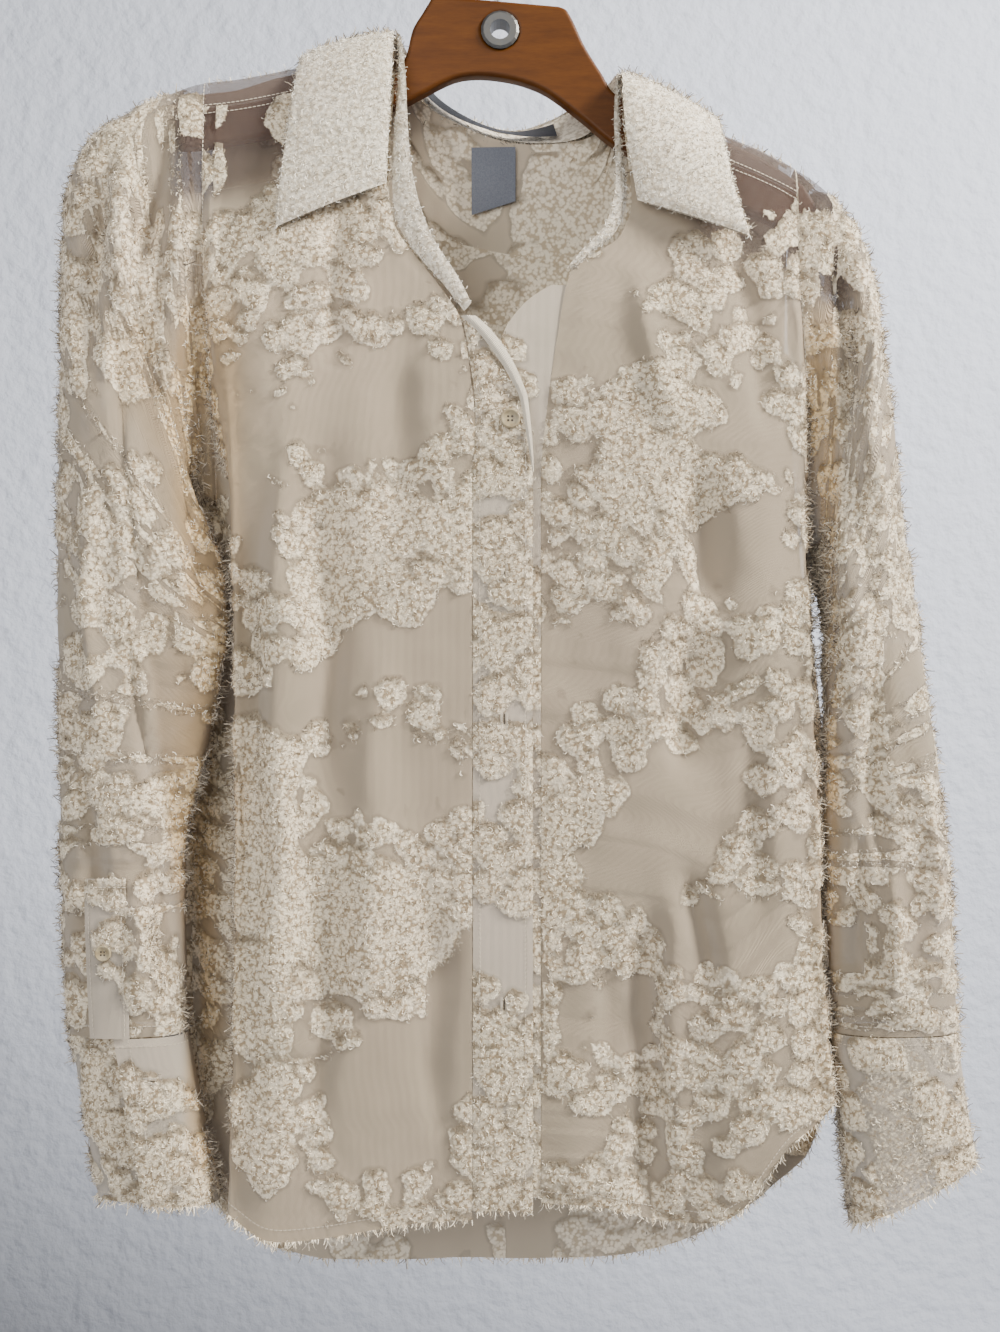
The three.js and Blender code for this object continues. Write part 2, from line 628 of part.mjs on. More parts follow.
function bandPoint(u, v) {
  const z = mix(BAND_TOP, BAND_BOTTOM, v);
  const x = mix(read(BAND_EDGE, "z", "x", z), read(LEFT_NECK, "z", "x", z) + 2 * SEAM_GAP, u);
  return vector(x, frontDepth(ridge(x) - z), z);
}

function underBandPoint(u, v) {
  const z = mix(UNDER_TOP, UNDER_BOTTOM, v);
  const gap = SEAM_GAP * (2 + 4 * smooth((z + 360) / 60));
  const x = mix(read(RIGHT_NECK, "z", "x", z) - gap, read(UNDER_EDGE, "z", "x", z), u);
  return vector(x, frontDepth(ridge(x) - z) + BUTTON_ROOM, z);
}

function buildBands() {
  add("placket", wall(grid(4, 26, bandPoint), WALL), COLOURS.band);
  add("under_placket", wall(grid(4, 26, underBandPoint), WALL), COLOURS.band);
}

function buttonGeometry(radius, height) {
  const profile = [
    [0, 0],
    [radius, 0],
    [radius, height],
    [radius - 1.5, height],
    [radius - 1.9, height - 0.6],
    [0, height - 0.6],
  ].map(([r, h]) => new THREE.Vector2(r, h));
  return new THREE.LatheGeometry(profile, 12);
}

// Front buttons, from the top: one is done up over the band, the others wait below it
const FRONT_BUTTONS = [
  { name: "button_front_1", x: -8, z: -284, over: false },
  { name: "button_front_2", x: -2, z: -314, over: true },
  { name: "button_front_3", x: -5, z: -405, over: false },
  { name: "button_front_4", x: -5, z: -491, over: false },
  { name: "button_front_5", x: -5, z: -572, over: false },
  { name: "button_front_6", x: -5, z: -655, over: false },
];

function buildFrontButtons() {
  for (const { name, x, z, over } of FRONT_BUTTONS) {
    const button = add(name, buttonGeometry(BUTTON_RADIUS, BUTTON_HEIGHT), COLOURS.button, 0.3);
    const cloth = frontDepth(ridge(x) - z) + (over ? 0 : BUTTON_ROOM);
    button.position.set(x, cloth - 2 * SEAM_GAP, z);
    button.rotation.x = Math.PI;
  }
}

// Rings of each sleeve, from the armhole to the cuff: top is the outer side, low the inner side
const SLEEVE_RIGHT = [
  { ring: 0, topX: -184.2, topZ: -108.4, topY: 0, lowX: -185, lowZ: -363, lowY: 17, front: 27, back: 25 },
  { ring: 1, topX: -205, topZ: -112, topY: 0, lowX: -188.5, lowZ: -369, lowY: 4, front: 28, back: 24 },
  { ring: 2, topX: -224, topZ: -121.5, topY: 0, lowX: -187, lowZ: -374, lowY: -2, front: 29, back: 23 },
  { ring: 3, topX: -241, topZ: -133, topY: -1, lowX: -183, lowZ: -378, lowY: -2, front: 30, back: 23 },
  { ring: 4, topX: -254, topZ: -146, topY: -3, lowX: -178, lowZ: -384, lowY: -4, front: 29, back: 23 },
  { ring: 5, topX: -262, topZ: -164, topY: -5, lowX: -175, lowZ: -391, lowY: -8, front: 28, back: 23 },
  { ring: 6, topX: -266, topZ: -190, topY: -8, lowX: -172, lowZ: -399, lowY: -10, front: 27, back: 23 },
  { ring: 7, topX: -267, topZ: -235, topY: -11, lowX: -170, lowZ: -409, lowY: -13, front: 25, back: 22 },
  { ring: 8, topX: -267, topZ: -300, topY: -13, lowX: -168.5, lowZ: -421, lowY: -15, front: 24, back: 22 },
  { ring: 9, topX: -267.5, topZ: -366, topY: -14, lowX: -168.5, lowZ: -437, lowY: -16, front: 23, back: 22 },
  { ring: 10, topX: -268, topZ: -430, topY: -14, lowX: -172, lowZ: -461, lowY: -16, front: 23, back: 22 },
  { ring: 11, topX: -267, topZ: -482, topY: -14, lowX: -179, lowZ: -494, lowY: -15, front: 23, back: 22 },
  { ring: 12, topX: -266.5, topZ: -526, topY: -14, lowX: -187, lowZ: -529, lowY: -14, front: 23, back: 22 },
  { ring: 13, topX: -266, topZ: -563, topY: -14, lowX: -194, lowZ: -563, lowY: -14, front: 22, back: 22 },
  { ring: 14, topX: -265, topZ: -600, topY: -14, lowX: -194, lowZ: -600, lowY: -14, front: 22, back: 21 },
  { ring: 15, topX: -264, topZ: -636, topY: -14, lowX: -193.5, lowZ: -636, lowY: -14, front: 21, back: 20 },
  { ring: 16, topX: -262, topZ: -672, topY: -14, lowX: -194, lowZ: -672, lowY: -14, front: 19, back: 18 },
];
const SLEEVE_LEFT = [
  { ring: 0, topX: 168.6, topZ: -160.3, topY: 0, lowX: 180.6, lowZ: -406, lowY: 17, front: 27, back: 25 },
  { ring: 1, topX: 184, topZ: -169, topY: 0, lowX: 183, lowZ: -411, lowY: 12, front: 27, back: 25 },
  { ring: 2, topX: 197, topZ: -182, topY: 0, lowX: 184.5, lowZ: -416, lowY: 6, front: 28, back: 24 },
  { ring: 3, topX: 207, topZ: -200, topY: -1, lowX: 185, lowZ: -421, lowY: 0, front: 28, back: 24 },
  { ring: 4, topX: 213, topZ: -225, topY: -3, lowX: 185.5, lowZ: -427, lowY: -4, front: 26, back: 24 },
  { ring: 5, topX: 218, topZ: -262, topY: -6, lowX: 185.5, lowZ: -434, lowY: -7, front: 25, back: 24 },
  { ring: 6, topX: 223, topZ: -310, topY: -9, lowX: 185.5, lowZ: -443, lowY: -10, front: 23, back: 23 },
  { ring: 7, topX: 229, topZ: -362, topY: -11, lowX: 185, lowZ: -457, lowY: -12, front: 22, back: 22 },
  { ring: 8, topX: 237, topZ: -418, topY: -12, lowX: 185, lowZ: -480, lowY: -13, front: 22, back: 22 },
  { ring: 9, topX: 242, topZ: -470, topY: -12, lowX: 184.5, lowZ: -508, lowY: -13, front: 22, back: 22 },
  { ring: 10, topX: 248, topZ: -520, topY: -12, lowX: 184.5, lowZ: -536, lowY: -13, front: 22, back: 22 },
  { ring: 11, topX: 255, topZ: -563, topY: -12, lowX: 184.5, lowZ: -566, lowY: -13, front: 22, back: 22 },
  { ring: 12, topX: 258, topZ: -600, topY: -12, lowX: 185, lowZ: -600, lowY: -13, front: 22, back: 21 },
  { ring: 13, topX: 260, topZ: -636, topY: -12, lowX: 187, lowZ: -636, lowY: -13, front: 21, back: 20 },
  { ring: 14, topX: 262, topZ: -672, topY: -12, lowX: 189, lowZ: -672, lowY: -13, front: 19, back: 18 },
];

// A lengthwise fold down the front of the right sleeve: the cloth steps back inside this line
const SLEEVE_FOLD = [
  { z: -225, x: -240 },
  { z: -326, x: -232 },
  { z: -407, x: -223 },
  { z: -476, x: -214 },
  { z: -569, x: -204 },
  { z: -640, x: -196 },
];
const SLEEVE_FOLD_STEP = 7;

function sleeveFold(x, z) {
  const along = smooth((-225 - z) / 60) * smooth((z + 650) / 60);
  return SLEEVE_FOLD_STEP * along * smooth((x - read(SLEEVE_FOLD, "z", "x", z)) / 6);
}

// A point of the armhole seam: round its front from the top down, then up its back
function armholePoint(side, rings, u) {
  const outward = Math.sign(rings[0].topX);
  const share = (1 - Math.cos(2 * Math.PI * u)) / 2;
  const z = mix(rings[0].topZ, rings[0].lowZ, share);
  const drop = ridge(rings[0].topX - outward * 0.6) - z;
  const atFront = u <= 0.5;
  const seam = read(side, "z", atFront ? "endX" : "backX", z);
  const low = atFront ? read(side, "z", "endY", z) : read(side, "z", "backY", z);
  const high = atFront ? frontDepth(drop) : backDepth(drop);
  const meets = atFront ? YOKE_FRONT : YOKE_BACK;
  return vector(seam + outward * 1.2, mix(high, low, smooth((drop - meets + 10) / 20)), z);
}

function sleevePoint(side, rings, u, v) {
  const ring = v * (rings.length - 1);
  const value = (column) => read(rings, "ring", column, ring);
  const angle = 2 * Math.PI * u;
  const share = (1 - Math.cos(angle)) / 2;
  const x = mix(value("topX"), value("lowX"), share);
  const z = mix(value("topZ"), value("lowZ"), share);
  const round = Math.pow(Math.abs(Math.sin(angle)), 0.75);
  const swell = u <= 0.5 ? -value("front") : value("back");
  const fold = u < 0.5 && x < 0 ? sleeveFold(x, z) * round : 0;
  const tube = vector(x, mix(value("topY"), value("lowY"), share) + swell * round + fold, z);
  return armholePoint(side, rings, u).lerp(tube, smooth(ring / 3));
}

// Rows of each cuff: where its two sides are, and how far it is from front to back
const CUFF_RIGHT = { topLeft: -262, topRight: -194, bottomLeft: -246, bottomRight: -175, deep: 17 };
const CUFF_LEFT = { topLeft: 189, topRight: 262, bottomLeft: 201, bottomRight: 273, deep: 17 };
const CUFF_TOP = -672.5;
const CUFF_OVERLAP = 5.4;
const CUFFS = [
  { name: "cuff_right", shape: CUFF_RIGHT, start: -48, left: -768, right: -771, y: -14 },
  { name: "cuff_left", shape: CUFF_LEFT, start: 128, left: -784, right: -748, y: -14 },
];
const CUFF_TURN = -405;

// A cuff is one band wound a little more than once round, so that its ends overlap
function cuffPoint({ shape, start, left, right, y }, u, v) {
  const angle = THREE.MathUtils.degToRad(start + CUFF_TURN * u);
  const lowX = mix(shape.topLeft, shape.bottomLeft, v);
  const highX = mix(shape.topRight, shape.bottomRight, v);
  const grow = CUFF_OVERLAP * (u - 0.5);
  const half = (highX - lowX) / 2 + grow;
  const round = (value) => Math.sign(value) * Math.pow(Math.abs(value), 0.8);
  const across = round(Math.cos(angle));
  const z = mix(CUFF_TOP, mix(left, right, (1 + across) / 2), v);
  return vector((lowX + highX) / 2 + half * across, y + (shape.deep + grow) * round(Math.sin(angle)), z);
}

function buildSleeves() {
  const right = (u, v) => sleevePoint(LEFT_SIDE, SLEEVE_RIGHT, 1 - u, v);
  const left = (u, v) => sleevePoint(RIGHT_SIDE, SLEEVE_LEFT, u, v);
  add("sleeve_right", wall(grid(24, 20, right), WALL, true), COLOURS.cloth);
  add("sleeve_left", wall(grid(24, 18, left), WALL, true), COLOURS.cloth);
  for (const cuff of CUFFS) {
    const point = (u, v) => cuffPoint(cuff, u, v);
    add(cuff.name, wall(grid(32, 4, point), CUFF_WALL), COLOURS.band);
  }
  const rightBand = (u, v) => right(mix(0.72, 0.83, u), mix(0.84, 1, v));
  const leftBand = (u, v) => left(mix(0.7, 0.8, u), mix(0.82, 1, v));
  add("sleeve_placket_right", bandOver(rightBand), COLOURS.band);
  add("sleeve_placket_left", bandOver(leftBand), COLOURS.band);
}

// A narrow band sewn on a sleeve, made from the sleeve's own points
function bandOver(point) {
  return wall(lifted(grid(4, 6, point), BAND_LIFT + BAND_WALL), BAND_WALL);
}

// Buttons on the sleeves: place, and the way that each faces
const SLEEVE_BUTTONS = [
  { name: "button_gauntlet_right", x: -236, y: -37.8, z: -622, back: false },
  { name: "button_gauntlet_left", x: 224, y: 10.3, z: -628, back: true },
  { name: "button_cuff_left", x: 229, y: 5.95, z: -716, back: true },
];

function buildSleeveButtons() {
  for (const { name, x, y, z, back } of SLEEVE_BUTTONS) {
    const button = add(name, buttonGeometry(SMALL_BUTTON_RADIUS, SMALL_BUTTON_HEIGHT), COLOURS.button, 0.3);
    button.position.set(x, y, z);
    button.rotation.x = back ? 0 : Math.PI;
  }
}

buildHanger();
buildBody();
buildCollar();
buildBands();
buildFrontButtons();
buildSleeves();
buildSleeveButtons();

export default shirt;
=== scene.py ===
import math

import bpy
import numpy as np
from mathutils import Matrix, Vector


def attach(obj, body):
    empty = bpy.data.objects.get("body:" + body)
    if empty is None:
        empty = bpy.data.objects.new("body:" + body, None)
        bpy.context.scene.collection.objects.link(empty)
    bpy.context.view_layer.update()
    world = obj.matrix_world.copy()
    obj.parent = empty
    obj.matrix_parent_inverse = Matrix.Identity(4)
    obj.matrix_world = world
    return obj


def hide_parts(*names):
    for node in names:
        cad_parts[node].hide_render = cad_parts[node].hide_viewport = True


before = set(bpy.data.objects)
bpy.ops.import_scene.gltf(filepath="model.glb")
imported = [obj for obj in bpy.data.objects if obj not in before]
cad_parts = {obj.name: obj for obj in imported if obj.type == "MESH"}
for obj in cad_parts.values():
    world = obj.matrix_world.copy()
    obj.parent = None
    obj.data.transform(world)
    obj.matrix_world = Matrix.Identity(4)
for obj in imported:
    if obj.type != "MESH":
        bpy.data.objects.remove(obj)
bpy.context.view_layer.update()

MM = 0.001
rng = np.random.default_rng(41)

# The camera: its place in millimetres and its lens for a 36 mm sensor
CAMERA = {"x": -8, "y": -880, "z": -457, "lens": 39.6}

# Sizes of the shirt in millimetres
YOKE_FRONT = 20                  # how far the yoke reaches before the ridge of the shoulders
YOKE_BACK = 105                  # and behind it
YOKE_ENDS = (-184, 168)          # x of the yoke's two ends, at the armholes
BUTTON_ROOM = 5.6                # how far the under band lies behind the placket
SLEEVE_FOLD_STEP = 7
SEAM_LAP = 0.1
BACK_REACH = 8                   # how far the back reaches past its solid, beside the right sleeve
BACK_REACH_FROM = -470
BACK_REACH_FULL = 90
INNER_GAP = 1.4                  # from the back to the strips that show its inner face


def table(names, *rows):
    """A table with named columns, one row for each section."""
    return {name: np.array([row[i] for row in rows], float) for i, name in enumerate(names.split())}


def rows_of(columns):
    """The rows of a table, each as a dictionary of its named values."""
    return [dict(zip(columns, values)) for values in zip(*columns.values())]


RIDGE = table(
    "x z",
    (-270, -152), (-188, -108), (-164, -105), (-128, -98), (-70, -86), (-3, -97),
    (64, -110), (88, -117), (123, -137), (148, -148), (172, -161), (230, -215),
)
FRONT_DEPTH = table(
    "drop y",
    (0, 0), (1.5, -4.5), (5, -8.6), (11, -11), (20, -12.8), (60, -20),
    (120, -27), (200, -32), (330, -34), (720, -34),
)
BACK_DEPTH = table(
    "drop y",
    (0, 0), (1.5, 4.5), (5, 8.6), (11, 11.5), (20, 14), (60, 22),
    (105, 28), (200, 34), (400, 38), (760, 38),
)
RIGHT_SIDE = table(
    "z fold midX midY endX endY backX backY",
    (-108, -172, -178, -12.8, -183.6, -12.8, -184, 14),
    (-128, -172, -178, -12.8, -183.6, -12.8, -184, 16),
    (-170, -172, -178, -20, -183, -18.5, -184, 22.5),
    (-222, -171, -177.5, -25, -182, -20, -184, 27.5),
    (-270, -169, -176, -24, -180, -15, -183, 27),
    (-320, -166, -172, -18, -179, -4, -183, 24),
    (-362, -164, -166, -4, -182, 17, -183, 22.5),
    (-420, -162, -163, 2, -192, 20, -192, 25.4),
    (-535, -161, -163, 4, -197, 20, -197, 24.6),
    (-650, -162, -163, 4, -197, 20, -197, 24.6),
    (-745, -166, -165, -4, -188, 15, -188, 19.6),
)
LEFT_SIDE = table(
    "z fold midX midY endX endY backX backY",
    (-160, 157, 162, -12.8, 167.6, -12.8, 168, 14),
    (-181, 157, 162, -12.8, 167.6, -12.8, 168, 16),
    (-215, 158, 163.5, -19, 168, -17.5, 168.5, 21),
    (-270, 162, 167, -24, 171, -19, 171, 27),
    (-330, 166, 170, -22, 174, -12, 174, 26.5),
    (-375, 169, 172, -12, 176, 2, 177, 22),
    (-406, 170.5, 172, -6, 180, 14, 180, 20),
    (-470, 173, 173, 0, 188, 20, 188, 24.6),
    (-535, 177, 176, 2, 193, 20, 193, 24.6),
    (-600, 179, 178, 2, 195, 20, 195, 24.6),
    (-655, 182, 181, 0, 195, 18, 195, 22.6),
    (-712, 187, 186, -6, 193, 10, 193, 14.6),
)
RIGHT_NECK = table(
    "z x",
    (-106, -70), (-176, -73), (-201, -69), (-216, -59), (-236, -42), (-252, -31),
    (-285, -25), (-312, -22.5), (-350, -24), (-780, -24),
)
LEFT_NECK = table(
    "z x",
    (-130, 64), (-185, 69), (-207, 62), (-219, 49), (-234, 33), (-268, 26),
    (-326, 18), (-350, 16), (-770, 16),
)
FRONT_HEM = table(
    "x z",
    (-200, -742), (-180, -756), (-166, -775), (-141, -789), (-110, -788), (-66, -780),
    (-24, -777), (12, -769), (50, -770), (84, -774), (92, -789), (108, -787),
    (131, -770), (150, -742), (176, -723), (188, -708), (196, -700),
)
BACK_HEM = table(
    "x z",
    (-198, -742), (-185, -786), (-171, -806), (-150, -820), (-114, -828), (-40, -829),
    (60, -826), (92, -821), (145, -796), (180, -760), (196, -704),
)
FRONT_FOLDS = table(
    "x top bottom deep wide",
    (-96, -300, -640, 2.5, 22), (-60, -420, -770, 2, 18), (112, -330, -560, 5, 18),
    (88, -560, -800, 9, 13), (140, -400, -720, -3, 20), (52, -380, -700, 2.5, 20),
)
BACK_FOLDS = table(
    "x top bottom deep wide",
    (-105, -330, -800, 5, 24), (-30, -420, -830, -4, 26),
    (48, -300, -800, 6, 22), (120, -420, -780, 4, 20),
)
YOKE_NECK = table(
    "share x over",
    (0, -183.6, -20), (0.14, -140, -20), (0.29, -72, -20), (0.33, -70, -7), (0.37, -66, 12),
    (0.42, -48, 30), (0.5, -3, 39), (0.58, 42, 30), (0.63, 60, 12), (0.67, 64, -7),
    (0.71, 66, -20), (0.86, 124, -20), (1, 167.6, -20),
)
SLEEVE_RIGHT = table(
    "ring topX topZ topY lowX lowZ lowY front back",
    (0, -184.2, -108.4, 0, -185, -363, 17, 27, 25), (1, -205, -112, 0, -188.5, -369, 4, 28, 24),
    (2, -224, -121.5, 0, -187, -374, -2, 29, 23), (3, -241, -133, -1, -183, -378, -2, 30, 23),
    (4, -254, -146, -3, -178, -384, -4, 29, 23), (5, -262, -164, -5, -175, -391, -8, 28, 23),
    (6, -266, -190, -8, -172, -399, -10, 27, 23), (7, -267, -235, -11, -170, -409, -13, 25, 22),
    (8, -267, -300, -13, -168.5, -421, -15, 24, 22), (9, -267.5, -366, -14, -168.5, -437, -16, 23, 22),
    (10, -268, -430, -14, -172, -461, -16, 23, 22), (11, -267, -482, -14, -179, -494, -15, 23, 22),
    (12, -266.5, -526, -14, -187, -529, -14, 23, 22), (13, -266, -563, -14, -194, -563, -14, 22, 22),
    (14, -265, -600, -14, -194, -600, -14, 22, 21), (15, -264, -636, -14, -193.5, -636, -14, 21, 20),
    (16, -262, -672, -14, -194, -672, -14, 19, 18),
)
SLEEVE_LEFT = table(
    "ring topX topZ topY lowX lowZ lowY front back",
    (0, 168.6, -160.3, 0, 180.6, -406, 17, 27, 25), (1, 184, -169, 0, 183, -411, 12, 27, 25),
    (2, 197, -182, 0, 184.5, -416, 6, 28, 24), (3, 207, -200, -1, 185, -421, 0, 28, 24),
    (4, 213, -225, -3, 185.5, -427, -4, 26, 24), (5, 218, -262, -6, 185.5, -434, -7, 25, 24),
    (6, 223, -310, -9, 185.5, -443, -10, 23, 23), (7, 229, -362, -11, 185, -457, -12, 22, 22),
    (8, 237, -418, -12, 185, -480, -13, 22, 22), (9, 242, -470, -12, 184.5, -508, -13, 22, 22),
    (10, 248, -520, -12, 184.5, -536, -13, 22, 22), (11, 255, -563, -12, 184.5, -566, -13, 22, 22),
    (12, 258, -600, -12, 185, -600, -13, 22, 21), (13, 260, -636, -12, 187, -636, -13, 21, 20),
    (14, 262, -672, -12, 189, -672, -13, 19, 18),
)
SLEEVE_FOLD = table(
    "z x", (-225, -240), (-326, -232), (-407, -223), (-476, -214), (-569, -204), (-640, -196)
)
STAND = table(
    "topX topY topZ lowX lowY lowZ",
    (-24.5, -31, -246.5, -28.8, -29.6, -251), (-32.5, -31, -231, -40.2, -29, -236),
    (-47, -30, -208, -57.2, -27.4, -216), (-55, -28.5, -187, -67.8, -25.8, -198),
    (-60, -26.5, -163, -71, -23.8, -172), (-62, -23, -138, -70.4, -20.6, -146),
    (-63.5, -18, -110, -68.8, -15.5, -120), (-66.5, -11, -84, -67.8, -9, -93),
    (-68.5, 0, -78.5, -68.4, 0, -84), (-64, 14, -84, -64.6, 11.6, -97.5),
    (-47, 32, -104, -47, 16, -118.6), (-3, 41, -123, -3, 17.6, -135),
    (38, 35, -110, 41, 16, -134), (57, 13, -103.5, 58.6, 11.6, -120),
    (61.5, 0, -102.5, 61.8, 0, -107.6), (60.5, -11, -112, 62, -9, -117),
    (59, -18, -136, 62.6, -15, -144), (59.5, -22, -158, 65.2, -18.6, -166),
    (59, -25, -180, 66, -21.6, -186), (53, -26, -200, 59.2, -22.8, -203.5),
    (41, -26, -213, 46.2, -23, -215), (31, -26, -225, 34.6, -23, -225.5),
)
LEAF = table(
    "foldX foldY foldZ edgeX edgeY edgeZ",
    (-74, -28, -176, -137, -31, -202), (-73, -27, -148, -134, -29, -170),
    (-71.5, -24, -112, -130, -24.5, -138), (-71, -14, -86, -127, -17.5, -112),
    (-71.5, 0, -77.5, -124, 0, -91), (-68, 15, -80, -114, 16, -104),
    (-60, 28, -91, -98, 29, -134), (-46, 37, -104, -72, 39, -158),
    (-3, 45, -119, -3, 47, -170), (22, 43, -114, 28, 46, -168),
    (42, 37, -105, 62, 40, -160), (57, 26, -101, 90, 28, -150),
    (63.5, 14, -100, 108, 17, -138), (65, 0, -101, 120, 0, -128.5),
    (64.5, -14, -110, 123, -18, -150), (65, -24, -138, 127, -27, -176),
    (68.5, -27, -165, 131, -31, -193), (72, -28, -186, 136, -33, -208),
)
BAND_EDGE = table(
    "z x", (-252, -25), (-262, -14), (-279, -2), (-291, 3.6), (-303, 7.7), (-349, 11), (-780, 11)
)
UNDER_EDGE = table(
    "z x", (-230, 28), (-245, 6), (-265, -7), (-300, -14), (-340, -19), (-780, -19)
)
BAND_RANGE = (-254, -772)
UNDER_RANGE = (-234, -766)


def mix(a, b, t):
    return a + (b - a) * t


def smooth(t):
    s = np.clip(t, 0, 1)
    return s * s * (3 - 2 * s)


def ease(value, start, wide):
    """A soft step from 0 at start to 1 at start + wide, which may lie below start."""
    return smooth((value - start) / wide)


def read(rows, along, column, at):
    """Reads one column of a table at places along another, smoothly and without overshoot."""
    xs, ys = rows[along], rows[column]
    if xs[-1] < xs[0]:
        xs, ys = xs[::-1], ys[::-1]
    widths = np.diff(xs)
    slopes = np.diff(ys) / widths
    before, after = slopes[:-1], slopes[1:]
    total = np.where(before + after == 0, 1, before + after)
    inner = np.where(before * after <= 0, 0, 2 * before * after / total)
    ends = np.concatenate([slopes[:1], inner, slopes[-1:]])
    at = np.clip(np.asarray(at, float), xs[0], xs[-1])
    i = np.clip(np.searchsorted(xs, at, side="right") - 1, 0, len(widths) - 1)
    t = (at - xs[i]) / widths[i]
    rise = (1 + 2 * t) * (1 - t) ** 2 * ys[i] + t * (1 - t) ** 2 * widths[i] * ends[i]
    fall = t * t * (3 - 2 * t) * ys[i + 1] + t * t * (t - 1) * widths[i] * ends[i + 1]
    return rise + fall


def centripetal(points, shares):
    """A smooth curve through points (count, ..., 3), read at shares from 0 to 1."""
    points = np.asarray(points, float)
    count = len(points)
    place = np.asarray(shares) * (count - 1)
    i = np.clip(np.floor(place).astype(int), 0, count - 2)
    shape = (len(place),) + (1,) * (points.ndim - 1)
    t = (place - i).reshape(shape)
    before = 2 * points[0] - points[1]
    after = 2 * points[-1] - points[-2]
    held = np.concatenate([before[None], points, after[None]])
    a, b, c, d = (held[i + k] for k in range(4))
    gap = [np.maximum(np.linalg.norm(q - p, axis=-1, keepdims=True) ** 0.5, 1e-4)
           for p, q in ((a, b), (b, c), (c, d))]
    t1 = ((b - a) / gap[0] - (c - a) / (gap[0] + gap[1]) + (c - b) / gap[1]) * gap[1]
    t2 = ((c - b) / gap[1] - (d - b) / (gap[1] + gap[2]) + (d - c) / gap[2]) * gap[1]
    return b + t1 * t + (3 * (c - b) - 2 * t1 - t2) * t**2 + (2 * (b - c) + t1 + t2) * t**3


def ridge(x):
    return read(RIDGE, "x", "z", x)


def front_depth(drop):
    return read(FRONT_DEPTH, "drop", "y", drop)


def back_depth(drop):
    return read(BACK_DEPTH, "drop", "y", drop)


def fold_depth(folds, x, z):
    depth = np.zeros(np.broadcast(x, z).shape)
    for fold in rows_of(folds):
        along = smooth((fold["top"] - z) / 90) * smooth((z - fold["bottom"]) / 40 + 1)
        depth += fold["deep"] * along * np.exp(-(((x - fold["x"]) / fold["wide"]) ** 2))
    return depth


def front_surface(x, z):
    away = smooth((np.abs(x) - 34) / 14)
    return front_depth(ridge(x) - z) + fold_depth(FRONT_FOLDS, x, z) * away


def back_surface(x, z):
    return back_depth(ridge(x) - z) - fold_depth(BACK_FOLDS, x, z)


def points_of(x, y, z):
    return np.stack(np.broadcast_arrays(x, y, z), axis=-1).astype(float)


def front_points(side, neck, shares, rows):
    """One front: across from its neckline or band to the fold, then back to the side seam."""
    v = np.asarray(rows)
    side_z = mix(ridge(side["endX"][1]) - YOKE_FRONT, read(FRONT_HEM, "x", "z", side["endX"][-1]), v)
    neck_z = mix(ridge(neck["x"][0]) - YOKE_FRONT, read(FRONT_HEM, "x", "z", neck["x"][-1]), v)
    start = read(neck, "z", "x", neck_z)
    fold = read(side, "z", "fold", side_z)
    room = BUTTON_ROOM if neck is LEFT_NECK else 0

    def level(x):
        return mix(ridge(x) - YOKE_FRONT + 1, read(FRONT_HEM, "x", "z", x), v)

    held = []
    for share in (0, 0.2, 0.42, 0.64, 0.84, 0.96, 1):
        x = mix(start, fold, share)
        lift = smooth(v / 0.3) * 5 * smooth((share - 0.84) / 0.16)
        behind = room * (1 - smooth((x - 18) / 44))
        held.append(points_of(x, front_surface(x, level(x)) + lift + behind, level(x)))
    for place in ("mid", "end"):
        x = read(side, "z", place + "X", side_z)
        held.append(points_of(x, read(side, "z", place + "Y", side_z), level(x)))
    return np.swapaxes(centripetal(held, shares), 0, 1)


def yoke_points(shares, rows):
    u, v = np.meshgrid(shares, rows)
    edge_x = read(YOKE_NECK, "share", "x", u)
    edge_over = read(YOKE_NECK, "share", "over", u)
    x = mix(edge_x, mix(*YOKE_ENDS, u), smooth(v))
    over = mix(edge_over, YOKE_BACK + 1, v)
    depth = np.where(over < 0, front_depth(-over), back_depth(over))
    return points_of(x, depth, ridge(x) - np.abs(over))


def back_points(shares, rows):
    u, v = np.meshgrid(shares, rows)
    left_z = mix(ridge(YOKE_ENDS[0]) - YOKE_BACK, BACK_HEM["z"][0], v)
    right_z = mix(ridge(YOKE_ENDS[1]) - YOKE_BACK, BACK_HEM["z"][-1], v)
    reach = BACK_REACH * smooth((BACK_REACH_FROM - left_z) / BACK_REACH_FULL)
    left_x = read(RIGHT_SIDE, "z", "backX", left_z) - reach
    right_x = read(LEFT_SIDE, "z", "backX", right_z)
    x = mix(left_x, right_x, u)
    z = mix(ridge(x) - YOKE_BACK, read(BACK_HEM, "x", "z", x), v)
    inside = smooth((x - left_x) / 34) * smooth((right_x - x) / 34)
    edge = np.where(x < 0, read(RIGHT_SIDE, "z", "backY", left_z), read(LEFT_SIDE, "z", "backY", right_z))
    under = 0.4 * smooth(1 - v / 0.01)
    return points_of(x, mix(edge, back_surface(x, z), inside) - under, z)


def armhole_points(side, rings, u):
    outward = np.sign(rings["topX"][0])
    share = (1 - np.cos(2 * np.pi * u)) / 2
    z = mix(rings["topZ"][0], rings["lowZ"][0], share)
    drop = ridge(rings["topX"][0] - outward * 0.6) - z
    front = u <= 0.5
    seam = np.where(front, read(side, "z", "endX", z), read(side, "z", "backX", z))
    low = np.where(front, read(side, "z", "endY", z), read(side, "z", "backY", z))
    high = np.where(front, front_depth(drop), back_depth(drop))
    meets = np.where(front, YOKE_FRONT, YOKE_BACK)
    return points_of(seam + outward * SEAM_LAP, mix(high, low, smooth((drop - meets + 10) / 20)), z)


